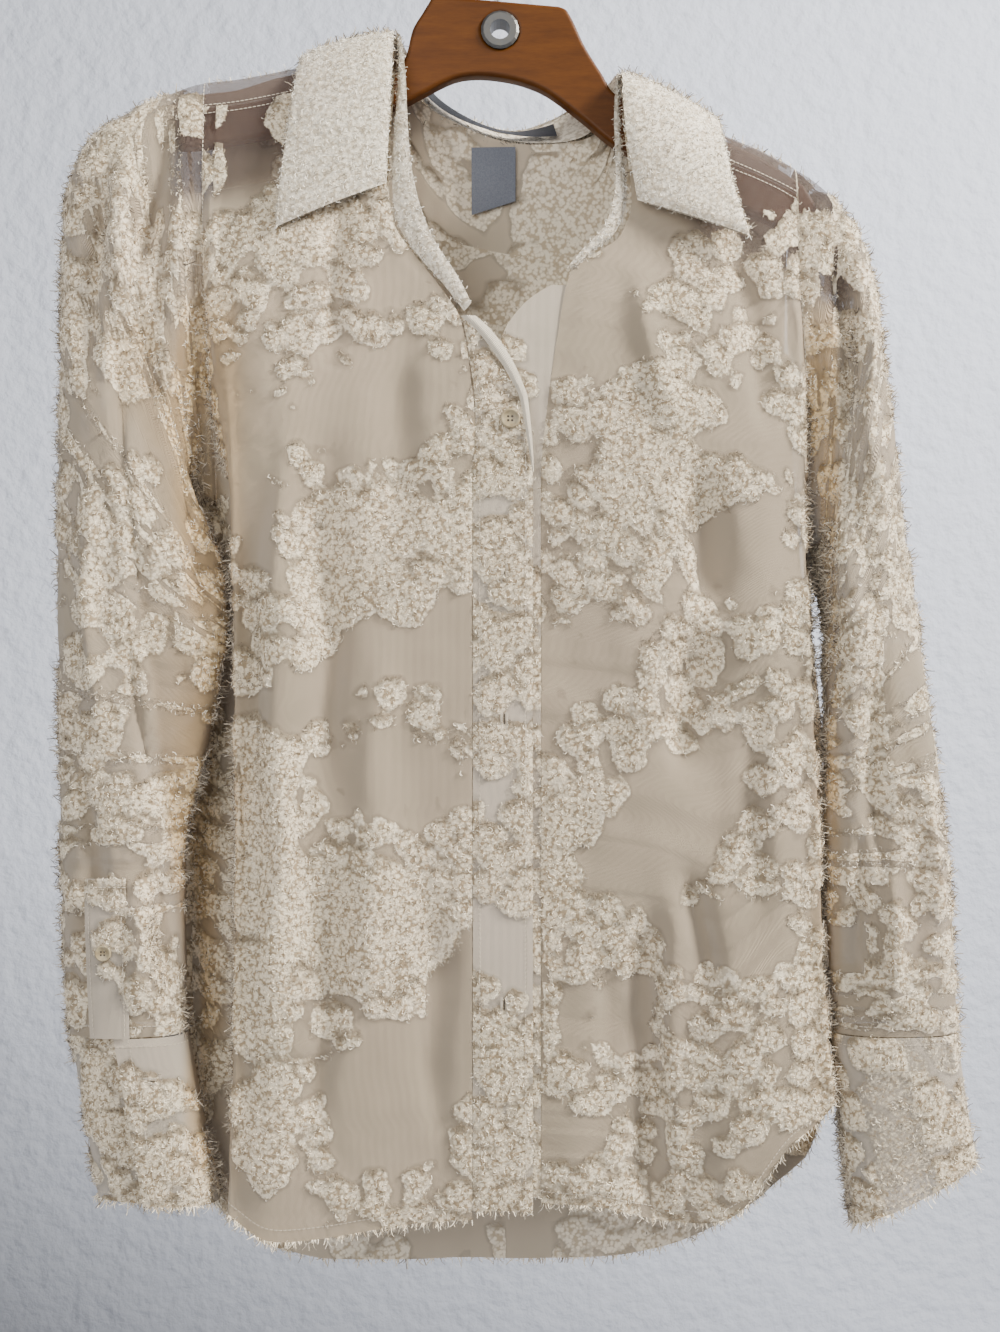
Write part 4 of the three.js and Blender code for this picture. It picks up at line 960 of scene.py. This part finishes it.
SLEEVE_CREASES = table(
    "side fromX fromZ toX toZ deep wide",
    (1, -206, -128, -214, -236, 5, 7), (1, -222, -140, -232, -262, -3.5, 7),
    (1, -196, -150, -202, -330, -3, 7), (1, -240, -160, -246, -300, 3.2, 7),
    (1, -224, -300, -212, -420, -3, 7), (1, -190, -330, -183, -440, 3.4, 6),
    (1, -246, -330, -240, -520, -3.2, 8), (1, -222, -420, -206, -560, 2.6, 6),
    (1, -250, -500, -238, -650, 2.6, 7), (1, -222, -570, -212, -668, -3, 7),
    (1, -205, -560, -199, -664, 2.4, 5), (1, 190, -200, 196, -330, 4.4, 6),
    (1, 204, -230, 210, -380, -3, 7), (1, 192, -330, 200, -520, -2.8, 6),
    (1, 222, -330, 232, -480, 2.8, 8), (1, 206, -430, 212, -600, 3, 7),
    (1, 238, -470, 244, -640, -2.6, 8), (1, 222, -560, 216, -668, -2.8, 6),
    (1, 198, -540, 203, -664, 2.8, 5), (-1, -210, -140, -222, -300, 4, 9),
    (-1, -240, -260, -236, -470, -3, 10), (-1, -206, -400, -214, -600, 3, 8),
    (-1, -240, -520, -232, -660, 2.6, 7), (-1, 196, -210, 206, -380, 4, 8),
    (-1, 214, -360, 226, -560, -3, 9), (-1, 204, -520, 212, -660, 2.8, 7),
    (-1, 240, -520, 238, -660, 2.2, 6),
)
CREASE_DEPTH = 2.2
CREASE_WANDER = 2.2
CREASE_ENDS = 0.35               # the share of its length over which each end of a crease fades
CREASE_MARGIN = 14               # the creases fade out this far from the edges
UNEVEN = ((1.1, 30, 44), (0.8, 11, 15))    # depth, and how wide and how high its waves are


def edge_fade(points, margin, closed):
    """0 at the edges of a piece of cloth and 1 past the margin, so that seams still meet."""
    u, v = cloth_lengths(points)
    fade = smooth(v / margin) * smooth((v[-1:, :] - v) / margin)
    return fade if closed else fade * smooth(u / margin) * smooth((u[:, -1:] - u) / margin)


def creased(points, creases, seed, closed=False):
    """The cloth's points with its creases and a slight unevenness."""
    normal = surface_normals(points, closed)
    x, z = points[..., 0], points[..., 2]
    depth = np.zeros(points.shape[:2])
    for i, crease in enumerate(rows_of(creases)):
        over, under = crease["toX"] - crease["fromX"], crease["toZ"] - crease["fromZ"]
        length = math.hypot(over, under)
        along = ((x - crease["fromX"]) * over + (z - crease["fromZ"]) * under) / length
        aside = ((x - crease["fromX"]) * under - (z - crease["fromZ"]) * over) / length
        aside = aside + CREASE_WANDER * np.sin(along / 19 + i * 2.1)
        wide = crease["wide"] * (1 + 0.3 * np.sin(along / 33 + i * 1.3))
        fading = CREASE_ENDS * length
        ends = smooth(along / fading) * smooth((length - along) / fading)
        facing = smooth(-normal[..., 1] * crease["side"] * 2.5)
        depth += CREASE_DEPTH * crease["deep"] * ends * facing * np.exp(-((aside / wide) ** 2))
    u, v = cloth_lengths(points)
    for number, (deep, wide, high) in enumerate(UNEVEN):
        depth += deep * (soft_noise(u / wide, v / high, seed + 20 + number) - 0.5)
    return points - normal * (depth * edge_fade(points, CREASE_MARGIN, closed))[..., None]


PILE_RISE = 0.9
PILE_RELIEF = 1.1
YARN_LENGTH = 2.9


def pile_on(name, points, lengths, closed, seed, per_mm2, cover, material):
    """The curled yarns over the pile areas of one piece of cloth."""
    normal = surface_normals(points, closed)
    place, across, down, up, rim_shadow = scatter(points, lengths, normal, seed, per_mm2, cover)
    sizes = YARN_LENGTH * rng.uniform(0.6, 1.25, len(place))
    rise = PILE_RISE * rng.uniform(0.5, 1.3, len(place))
    obj = yarn_mesh(name, place + up * 0.1, across, down, up, sizes, rise, material, rim_shadow)
    return obj


THREAD_STEPS = 3
THREAD_SPREAD = 0.45
THREAD_HALF = 0.34
THREAD_TAPER = 0.16


def threads(name, place, away, long, material):
    """Loose yarn ends that leave the cloth at their places and curl away, in one joined mesh."""
    count = len(place)
    away = away + rng.normal(0, THREAD_SPREAD, away.shape)
    away /= np.linalg.norm(away, axis=1, keepdims=True)
    curl = np.cross(away, rng.normal(0, 1, away.shape))
    curl /= np.linalg.norm(curl, axis=1, keepdims=True)
    flat = np.cross(away, curl)
    sizes = (long * rng.uniform(0.35, 1.0, count) ** 1.3)[:, None]
    rings = []
    for step in range(THREAD_STEPS + 1):
        t = step / THREAD_STEPS
        centre = place + away * sizes * (t - 0.25 * t * t) + curl * sizes * 0.5 * t * t
        half = flat * (THREAD_HALF - THREAD_TAPER * t)
        rings += [centre - half, centre + half]
    obj = ribbon_mesh(name, rings, rng.uniform(0, 1, count), material)
    return obj


def threads_along(name, line, outward, count, long, material):
    """Loose yarn ends along one edge."""
    step = np.linalg.norm(np.diff(line, axis=0), axis=1)
    reach = np.concatenate([[0], np.cumsum(step)])
    at = rng.uniform(0, reach[-1], count)
    place = np.stack([np.interp(at, reach, line[:, k]) for k in range(3)], axis=1)
    away = np.stack([np.interp(at, reach, outward[:, k]) for k in range(3)], axis=1)
    return threads(name, place, away, long, material)


LOOSE_PER_MM2 = 0.0135
LOOSE_AT_SIDES = 0.42
LOOSE_LONG = (3.2, 7.6)
LOOSE_LIFT = (0.5, 1.1)
LOOSE_LEAN = 0.8
TURNED_AWAY = 0.62
TURNED_BY = 0.3


def loose_threads(name, points, lengths, closed, seed, cover, material):
    """Yarn ends that stand out of the pile, most of all where the cloth turns away at the sides."""
    normal = surface_normals(points, closed)
    place, across, down, up, _ = scatter(points, lengths, normal, seed, LOOSE_AT_SIDES, cover - 1)
    sides = smooth((TURNED_AWAY - np.abs(up[:, 1])) / TURNED_BY)
    kept = rng.uniform(0, 1, len(place)) < mix(LOOSE_PER_MM2 / LOOSE_AT_SIDES, 1, sides)
    place, across, down, up, sides = (each[kept] for each in (place, across, down, up, sides))
    lean = rng.normal(0, LOOSE_LEAN, (len(place), 1)) * across
    lean = lean + rng.normal(0, LOOSE_LEAN, (len(place), 1)) * down
    away = up * mix(*LOOSE_LIFT, sides)[:, None] + lean
    return threads(name, place, away, mix(*LOOSE_LONG, sides), material)


STITCH_STEP = 2.7
STITCH_LONG = 1.9
STITCH_HALF = 0.26
STITCH_LIFT = 0.3
STITCH_RISE = 0.25


def stitch_line(line, up, step=STITCH_STEP, long=STITCH_LONG):
    """The corners of a row of stitches along a line, each a small raised ribbon."""
    reach = np.concatenate([[0], np.cumsum(np.linalg.norm(np.diff(line, axis=0), axis=1))])
    starts = np.arange(0.5, reach[-1] - long, step)

    def at(place, rows):
        return np.stack([np.interp(place, reach, rows[:, k]) for k in range(3)], axis=1)

    first, last, raised = at(starts, line), at(starts + long, line), at(starts, up)
    ahead = last - first
    aside = np.cross(raised, ahead)
    aside *= STITCH_HALF / np.maximum(np.linalg.norm(aside, axis=1, keepdims=True), 1e-9)
    first, last = first + STITCH_LIFT * raised, last + STITCH_LIFT * raised
    middle = (first + last) / 2 + STITCH_RISE * raised
    return np.stack([first - aside, first + aside, middle - aside, middle + aside,
                     last - aside, last + aside], axis=1).reshape(-1, 3)


def sewing(name, rows):
    """All the stitches of one piece as a joined mesh; rows are arrays of stitch corners."""
    corners = np.concatenate(rows)
    obj = quad_mesh(name, corners * MM, ladders(len(corners) // 6, 2), sewing_thread)
    return obj


def ladders(count, steps):
    """The four-sided faces of a number of ribbons, each of some steps."""
    base = np.arange(count)[:, None, None] * 2 * (steps + 1)
    ladder = np.array([[2 * k, 2 * k + 1, 2 * k + 3, 2 * k + 2] for k in range(steps)])
    return (base + ladder[None]).reshape(-1, 4)


PILE_CROWN = 6                   # how far inside a clump its relief is full
CROWN_MARGIN = 5                 # the relief fades out this far from the edges


def cloth_piece(name, points, material, seed, closed=False, creases=None,
                cover=0.0, places=plumb_places, deep=True, per_mm2=0.25, yarns=None, edges=(), sewn=(),
                extras=()):
    """One piece of the shirt: its cloth, its pile and the loose yarn ends along its edges."""
    if creases is not None:
        points = creased(points, creases, seed, closed)
    u, v = places(points)
    cover = cover + patched(points) * (name in PATCHED)
    level = pile_level(u + FIGURE_ORIGIN, v + FIGURE_ORIGIN, seed, cover)
    crown = np.sqrt(np.clip(level, 0, PILE_CROWN) / PILE_CROWN) * PILE_RELIEF
    crown = crown * edge_fade(points, CROWN_MARGIN, closed)
    points = points + surface_normals(points, closed) * crown[..., None]
    obj, lengths = sheet_mesh(name + "_cloth", points, material, seed, closed, True, cover,
                              places, deep)
    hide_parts(name)
    pieces = list(extras)
    pieces.append(pile_on(name + "_pile", points, lengths, closed, seed, per_mm2, cover, yarns or yarn))
    pieces.append(loose_threads(name + "_loose", points, lengths, closed, seed, cover, shaded_fringe_yarn))
    normal = surface_normals(points, closed)
    if sewn:
        seams = [stitch_line(points[where], normal[where]) for where in sewn]
        pieces.append(sewing(name + "_stitches", seams))
    for label, rows, columns, away, count, long in edges:
        line, up = points[rows, columns], normal[rows, columns]
        out = np.asarray(away, float) + 0.35 * up
        pieces.append(threads_along(f"{name}_{label}", line, out, count, long, yarns or yarn))


def rows_close_at_top(count, share=0.3, part=0.42):
    """Rows that lie closer together in the top share of a piece."""
    top = int(count * part)
    return np.concatenate([spaced(top, 0, share)[:-1], spaced(count - top + 1, share, 1)])


ALL = slice(None)
DOWN = (0, -0.2, -1)
UP = (0, 0, 1)

front_columns = spaced(76)
front_rows = rows_close_at_top(230)
FRONT_SEAMS = ((-3, ALL), (2, ALL))
right_front = front_points(RIGHT_SIDE, RIGHT_NECK, front_columns, front_rows)
left_front = front_points(LEFT_SIDE, LEFT_NECK, front_columns[::-1], front_rows)
for name, points, seed in (("front_right", right_front, 1), ("front_left", left_front, 2)):
    cloth_piece(name, points, cloth, seed, creases=CREASES, per_mm2=0.26,
                sewn=FRONT_SEAMS, edges=(("hem_threads", -1, ALL, DOWN, 420, 7),))

yoke_rows = np.concatenate([spaced(16, 0, 0.12)[:-1], spaced(20, 0.12, 0.2)[:-1], spaced(26, 0.2, 1)])
yoke = yoke_points(spaced(190), yoke_rows)
cloth_piece("yoke", yoke, lit_back_cloth, 3, places=over_places, per_mm2=0.3,
            sewn=((2, ALL), (-3, ALL)),
            edges=(("shoulder_threads", 25, ALL, UP, 420, 7),))

back = back_points(spaced(116), spaced(160))
INNER_COLUMNS = {"right": slice(0, 18), "left": slice(-20, None)}
INNER_COVER = 4.0


def inner_sides(points):
    """The inside of the back's two sides, which the deep folds beside the sleeves show from the front,
    carrying those folds' painted shade.
    """
    pieces = []
    for name, columns in INNER_COLUMNS.items():
        strip = creased(points, CREASES, 4)[:, columns]
        strip = (strip - INNER_GAP * surface_normals(strip))[:, ::-1]
        obj, lengths = sheet_mesh(f"back_inner_{name}", strip, cloth, 4, cover=INNER_COVER,
                                  places=plumb_places)
        cover = np.full(strip.shape[:2], INNER_COVER)
        pile = pile_on(f"back_inner_{name}_pile", strip, lengths, False, 4, 0.16, cover, shade_yarn)
        pieces += [obj, pile]
    return pieces


# The back's outside gets no painted fold shade; the inner strips carry it
cloth_piece("back", back, lit_back_cloth, 4, creases=CREASES, per_mm2=0.12,
            deep=False, extras=inner_sides(back),
            sewn=((-3, ALL), (2, ALL)),
            edges=(("hem_threads", -1, ALL, DOWN, 640, 7),))

sleeve_columns = spaced(105)
sleeve_rows = spaced(180)
SLEEVE_SEAMS = ((2, ALL), (-3, ALL))
right_sleeve = sleeve_points(RIGHT_SIDE, SLEEVE_RIGHT, sleeve_columns[::-1], sleeve_rows)
left_sleeve = sleeve_points(LEFT_SIDE, SLEEVE_LEFT, sleeve_columns, sleeve_rows)
cloth_piece("sleeve_right", right_sleeve, cloth, 5, closed=True,
            creases=SLEEVE_CREASES, per_mm2=0.24, sewn=SLEEVE_SEAMS)
cloth_piece("sleeve_left", left_sleeve, cloth, 6, closed=True,
            creases=SLEEVE_CREASES, per_mm2=0.24, sewn=SLEEVE_SEAMS)

stand = ribbon_points(STAND, "top", "low", spaced(200), spaced(12))
cloth_piece("collar_stand", stand, collar_cloth, 7, cover=19,
            places=cloth_lengths, per_mm2=0.3, yarns=white_yarn)


LEAF_CROWN = 2.4
LEAF_THICK = 2.0
LEAF_TURN = 0.5


def folded_leaf():
    """The collar's leaf: out from its fold to its edge, and back under itself."""
    downs = spaced(30)
    outer = ribbon_points(LEAF, "fold", "edge", spaced(190), downs)
    normal = surface_normals(outer)
    crown = LEAF_CROWN * np.sin(np.pi * downs)[:, None, None]
    outer = outer + normal * crown
    along = outer[-1] - outer[-2]
    along /= np.linalg.norm(along, axis=-1, keepdims=True)
    turn = outer[-1] + LEAF_TURN * along - LEAF_THICK / 2 * normal[-1]
    inner = (outer - LEAF_THICK * normal)[:2:-1]
    return np.concatenate([outer, turn[None], inner]), len(downs)


leaf, leaf_rows = folded_leaf()
cloth_piece("collar_leaf", leaf, collar_cloth, 8, cover=19,
            places=cloth_lengths, per_mm2=0.22, yarns=white_yarn,
            sewn=((leaf_rows - 4, ALL), (slice(0, leaf_rows), 3), (slice(0, leaf_rows), -4)),
            edges=(("edge_threads", leaf_rows - 1, ALL, DOWN, 420, 4),
                   ("fold_threads", 0, ALL, UP, 240, 4)))

ROLL = table("z wide", (-254, 9), (-275, 8), (-300, 5), (-325, 3), (-345, 1))


def rolled_edge():
    """The placket's folded edge along the neck, which turns outward and narrows down to the button."""
    down = spaced(60)
    rows = []
    for share in spaced(7):
        z = mix(ROLL["z"][0], ROLL["z"][-1], down)
        wide = read(ROLL, "z", "wide", z)
        x = read(BAND_EDGE, "z", "x", z) + 0.6 - wide * share
        rise = 0.9 + 1.3 * np.sin(np.pi * share)
        rows.append(points_of(x, front_depth(ridge(x) - z) - rise, z))
    points = np.stack(rows, axis=1)[:, ::-1]
    obj, _ = sheet_mesh("placket_rolled_edge", points, collar_cloth, 17, pile=False)
    return obj


band = band_points(BAND_EDGE, RIGHT_NECK, 0.3, 0.6, BAND_RANGE, spaced(18), spaced(230))
under = band_points(UNDER_EDGE, LEFT_NECK, -0.3, BUTTON_ROOM, UNDER_RANGE, spaced(14), spaced(190))
cloth_piece("placket", band, band_cloth, 9, cover=1.5, per_mm2=0.32,
            extras=(rolled_edge(),), sewn=((ALL, 2), (ALL, -3)),
            edges=(("hem_threads", -1, ALL, DOWN, 50, 6),))
cloth_piece("under_placket", under, band_cloth, 10, per_mm2=0.15)

for number, (name, cuff) in enumerate(CUFFS.items()):
    points = cuff_points(cuff, spaced(150), spaced(44))
    cloth_piece(name, points, band_cloth, 11 + number, cover=2, per_mm2=0.3,
                sewn=((2, ALL), (-3, ALL), (ALL, 3), (ALL, -4)),
                edges=(("hem_threads", -1, ALL, DOWN, 420, 8),))

strips = {
    "sleeve_placket_right": (RIGHT_SIDE, SLEEVE_RIGHT, spaced(10, 0.28, 0.17), spaced(40, 0.84, 1)),
    "sleeve_placket_left": (LEFT_SIDE, SLEEVE_LEFT, spaced(10, 0.7, 0.8), spaced(40, 0.82, 1)),
}
for number, (name, (side, rings, shares, rows)) in enumerate(strips.items()):
    points = sleeve_points(side, rings, shares, rows)
    points = points + 2.4 * surface_normals(points)
    cloth_piece(name, points, band_cloth, 13 + number, per_mm2=0.3,
                sewn=((ALL, 1), (ALL, -2), (2, ALL)))


def label(name, points, material, slot_name, flat):
    """A bare woven label: a thin sheet that stands for the solid of the same name."""
    obj, _ = sheet_mesh(name + "_tape", points, material, 0, pile=False)
    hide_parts(name)


inner_stand = ribbon_points(STAND, "top", "low", spaced(26, 0.46, 0.555), spaced(9, 0.35, 0.92))
label("label_main", inner_stand - 3.2 * surface_normals(inner_stand), black_label, "label_black",
      (0.082, 0.015))
care_u, care_v = np.meshgrid(spaced(16), spaced(22))
care_x = mix(-25.5, 1.5, care_u)
care_z = mix(-139.5, mix(-179, -171, care_u), care_v)
care = points_of(care_x, back_depth(ridge(care_x) - care_z) - 2.6, care_z)
label("label_care", care, slate_label, "label_slate", (0.027, 0.037))


BUTTON_HOLES = ((-1, -1), (1, -1), (1, 1), (-1, 1))


def lathe(profile, segments, centre, facing):
    """A turned solid from (radius, height) pairs, with its axis along y."""
    angle = np.linspace(0, 2 * np.pi, segments, endpoint=False)
    rings = []
    for radius, height in profile:
        rings.append(points_of(centre[0] + radius * np.cos(angle), centre[1] + facing * height,
                               centre[2] + radius * np.sin(angle)))
    vertices = np.concatenate(rings)
    faces = grid_faces(len(profile), segments, closed=True).tolist()
    faces.append(list(range(segments)))
    faces.append([len(vertices) - 1 - k for k in range(segments)])
    return vertices, faces


# A button's outline from its back to its middle, as shares of its radius and its height
BUTTON_PROFILE = ((0.9, 0), (1, 0.25), (1, 0.72), (0.93, 1), (0.8, 0.98), (0.68, 0.72), (0.06, 0.66))
HOLE_RADIUS = 0.12
HOLE_OFFSET = 0.2
HOLE_HEIGHT = 0.62
HOLE_DEEP = 0.1


def button(name, centre, radius, high, facing):
    """A four-hole horn button with a raised rim, and its holes."""
    profile = [(radius * across, high * up) for across, up in BUTTON_PROFILE]
    vertices, faces = lathe(profile, 48, centre, facing)
    obj = mesh_object(name + "_horn", vertices * MM, faces, horn)
    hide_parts(name)
    pit, pits = [], []
    apart = radius * HOLE_OFFSET
    hole_profile = [(radius * HOLE_RADIUS, 0), (radius * HOLE_RADIUS, high * HOLE_DEEP)]
    for right, up in BUTTON_HOLES:
        place = (centre[0] + right * apart, centre[1] + facing * high * HOLE_HEIGHT, centre[2] + up * apart)
        hole, hole_faces = lathe(hole_profile, 14, place, facing)
        start = sum(len(part) for part in pit)
        pit.append(hole)
        pits += [[k + start for k in face] for face in hole_faces]
    holes = mesh_object(name + "_holes", np.concatenate(pit) * MM, pits, dark_hole)


dark_hole = plain("button_hole_shade", (0.09, 0.07, 0.05), 0.8, grain=((0.05, 0.04, 0.03), 500.0))
FRONT_BUTTONS = table(
    "x z over",
    (-8, -284, 0), (-2, -314, 1), (-5, -405, 0), (-5, -491, 0), (-5, -572, 0), (-5, -655, 0),
)
FRONT_BUTTON = (5.75, 2.4)       # radius and height
SLEEVE_BUTTON = (4.75, 2)
BUTTON_RAISED = 0.6              # the back of a front button stands this far before the cloth's depth
for number, row in enumerate(rows_of(FRONT_BUTTONS)):
    behind = 0 if row["over"] else BUTTON_ROOM
    y = front_depth(ridge(row["x"]) - row["z"]) + behind - BUTTON_RAISED
    button(f"button_front_{number + 1}", (row["x"], y, row["z"]), *FRONT_BUTTON, -1)
button("button_gauntlet_right", (-236, -37.8, -622), *SLEEVE_BUTTON, -1)
button("button_gauntlet_left", (224, 10.3, -628), *SLEEVE_BUTTON, 1)
button("button_cuff_left", (229, 5.95, -716), *SLEEVE_BUTTON, 1)

ARM_TOP_DROP = 4.6
ARM_END_DROP = 3
WOOD_THICKNESS = 11
WOOD_EDGE = 2.5
EYELET = {"x": -8, "z": -77.5, "hole": 8.1}
HEAD_LEFT = table("x z", (-84, -97), (-72, -102.6), (-65, -94), (-60, -76), (-54, -66), (-48, -56))
HEAD_RIGHT = table(
    "x z", (27, -62.6), (31.5, -64.5), (35, -70), (43, -87), (53, -103), (60, -114), (74, -118.5)
)
ARM_BOTTOM = table(
    "x z", (174, -170), (183, -188), (178, -196), (168, -197), (123, -176), (61, -146), (40, -129),
    (16, -112), (-8, -105), (-32, -105), (-56, -116), (-66, -121), (-128, -136), (-200, -147),
    (-214, -143), (-220, -132), (-216, -127),
)


def wood_outline():
    """The hanger's outline from the front, in order round its edge."""
    def arm_top(x):
        return ridge(x) - ARM_TOP_DROP - ARM_END_DROP * smooth((np.abs(x) - 140) / 30)

    def smooth_line(rows, count):
        return centripetal(np.stack([rows["x"], rows["z"]], axis=1), spaced(count))

    left, right = spaced(40, -214, -90), spaced(30, 80, 172)
    return np.concatenate([
        np.stack([left, arm_top(left)], axis=1), smooth_line(HEAD_LEFT, 40), smooth_line(HEAD_RIGHT, 40),
        np.stack([right, arm_top(right)], axis=1), smooth_line(ARM_BOTTOM, 150),
    ])


def hanger_wood():
    """The hanger's board with rounded edges and the eyelet's hole, as one filled outline."""
    curve = bpy.data.curves.new("hanger_board", "CURVE")
    curve.dimensions = "2D"
    curve.fill_mode = "BOTH"
    curve.extrude = (WOOD_THICKNESS / 2 - WOOD_EDGE) * MM
    curve.bevel_depth = WOOD_EDGE * MM
    curve.bevel_resolution = 5
    curve.offset = -WOOD_EDGE * MM
    angle = np.linspace(0, 2 * np.pi, 48, endpoint=False)
    hole = np.stack([EYELET["x"] + (EYELET["hole"] + WOOD_EDGE) * np.cos(angle),
                     EYELET["z"] + (EYELET["hole"] + WOOD_EDGE) * np.sin(angle)], axis=1)
    for points in (wood_outline(), hole):
        spline = curve.splines.new("POLY")
        spline.points.add(len(points) - 1)
        spline.use_cyclic_u = True
        for point, (x, z) in zip(spline.points, points):
            point.co = (x * MM, z * MM, 0, 1)
    curve.materials.append(wood)
    obj = link(bpy.data.objects.new("hanger_board", curve))
    obj.rotation_euler = (math.pi / 2, 0, 0)
    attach(obj, "root")
    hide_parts("hanger_wood")


hanger_wood()
for name, material in (("hanger_eyelet", eyelet_metal), ("hanger_hook", hook_metal)):
    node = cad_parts[name]
    for place in range(len(node.material_slots)):
        node.material_slots[place].material = material


def on_cloth(points, x, z):
    """The place and outward direction of the front of a piece of cloth at x and z."""
    normal = surface_normals(points)
    far = np.hypot(points[..., 0] - x, points[..., 2] - z) + np.where(normal[..., 1] < -0.3, 0, 900)
    nearest = np.unravel_index(np.argmin(far), far.shape)
    return np.array([x, points[nearest][1], z]), normal[nearest]


def buttonhole(name, points, x, z, along, long):
    """A sewn buttonhole: a dark slit with close stitches across both of its edges."""
    centre, up = on_cloth(points, x, z)
    along = np.asarray(along, float)
    aside = np.cross(up, along)
    rows = []
    for side in (-1, 1):
        for share in spaced(21, -0.5, 0.5):
            start = centre + along * long * share + aside * side * 0.3 + up * 0.5
            line = np.stack([start, start + aside * side * 2.6])
            rows.append(stitch_line(line, np.stack([up, up]), 9, 1.5))
    sewing(name, rows)
    slit = np.stack([centre + up * 0.75 + along * a * long / 2 + aside * b * 0.4
                     for a, b in ((-1, -1), (1, -1), (1, 1), (-1, 1))])
    hole = mesh_object(name + "_slit", slit * MM, [(0, 1, 2, 3)], dark_hole)


for i in range(2, 6):
    buttonhole(f"buttonhole_front_{i + 1}", band, -5.5, FRONT_BUTTONS["z"][i], (0, 0, 1), 13)
buttonhole("buttonhole_cuff_right", cuff_points(CUFFS["cuff_right"], spaced(150), spaced(44)), -214, -697,
           (1, 0, 0), 14)


def staged(name, corners, material):
    mesh = bpy.data.meshes.new(name)
    mesh.from_pydata(corners, [], [(0, 1, 2, 3)])
    mesh.materials.append(material)
    obj = link(bpy.data.objects.new(name, mesh))


WALL_SHADE_RANGE = (-2.9, -1.5)
PLASTER = (0.74, 0.775, 0.86)


def plaster(name, shade_colour):
    """Pale plaster, which turns to the given colour low on the left; on the wall this colour is darker, as
    painted shade.
    """
    material, tree, shader = node_tree(name)
    place = add_node(tree, "ShaderNodeTexCoord").outputs["Object"]
    rough = add_node(tree, "ShaderNodeTexNoise", Vector=place, Scale=26.0, Detail=4.0)
    place_parts = add_node(tree, "ShaderNodeSeparateXYZ", Vector=place)
    side = maths(tree, "MULTIPLY", place_parts.outputs["X"], 0.55)
    dim = limited(tree, maths(tree, "ADD", side, place_parts.outputs["Z"]), *WALL_SHADE_RANGE)
    tree.links.new(ramp(tree, dim, (0.0, shade_colour), (1.0, PLASTER)),
                   shader.inputs["Base Color"])
    shader.inputs["Roughness"].default_value = 0.9
    bump = add_node(tree, "ShaderNodeBump", Height=rough.outputs["Fac"], Strength=0.6, Distance=0.02)
    tree.links.new(bump.outputs["Normal"], shader.inputs["Normal"])
    return material


# Painted shade: the wall darkens to a dark grey low on the left
wall = plaster("plaster_wall", (0.17, 0.175, 0.19))
floor = plaster("pale_floor", PLASTER)
staged("wall", [(-9, 2.6, -4), (9, 2.6, -4), (9, 2.6, 7), (-9, 2.6, 7)], wall)
staged("floor", [(-9, -9, -4), (9, -9, -4), (9, 2.6, -4), (-9, 2.6, -4)], floor)


def area_light(name, place, target, size, power, colour):
    data = bpy.data.lights.new(name, "AREA")
    data.shape = "DISK"
    data.size = size
    data.energy = power
    data.color = colour
    obj = link(bpy.data.objects.new(name, data))
    obj.location = place
    obj.rotation_euler = (Vector(target) - Vector(place)).to_track_quat("-Z", "Y").to_euler()


CENTRE = (0, 0, -0.45)
area_light("window", (2.3, -0.85, 1.25), CENTRE, 0.8, 245, (1.0, 0.955, 0.87))
area_light("room", (-0.9, -2.2, 0.2), CENTRE, 2.4, 52, (1.0, 0.98, 0.93))
area_light("wall_wash", (2.4, 0.9, 1.6), (0, 2.6, -0.6), 2.0, 88, (0.95, 0.96, 1.0))
world = bpy.data.worlds.new("room_light")
bpy.context.scene.world = world
world.use_nodes = True
world.node_tree.nodes["Background"].inputs["Color"].default_value = (0.80, 0.84, 0.95, 1)
world.node_tree.nodes["Background"].inputs["Strength"].default_value = 0.36

camera_data = bpy.data.cameras.new("camera")
camera_data.lens = CAMERA["lens"]
camera_data.sensor_width = 36
camera = link(bpy.data.objects.new("camera", camera_data))
camera.location = (CAMERA["x"] * MM, CAMERA["y"] * MM, CAMERA["z"] * MM)
camera.rotation_euler = (math.pi / 2, 0, 0)
bpy.context.scene.camera = camera
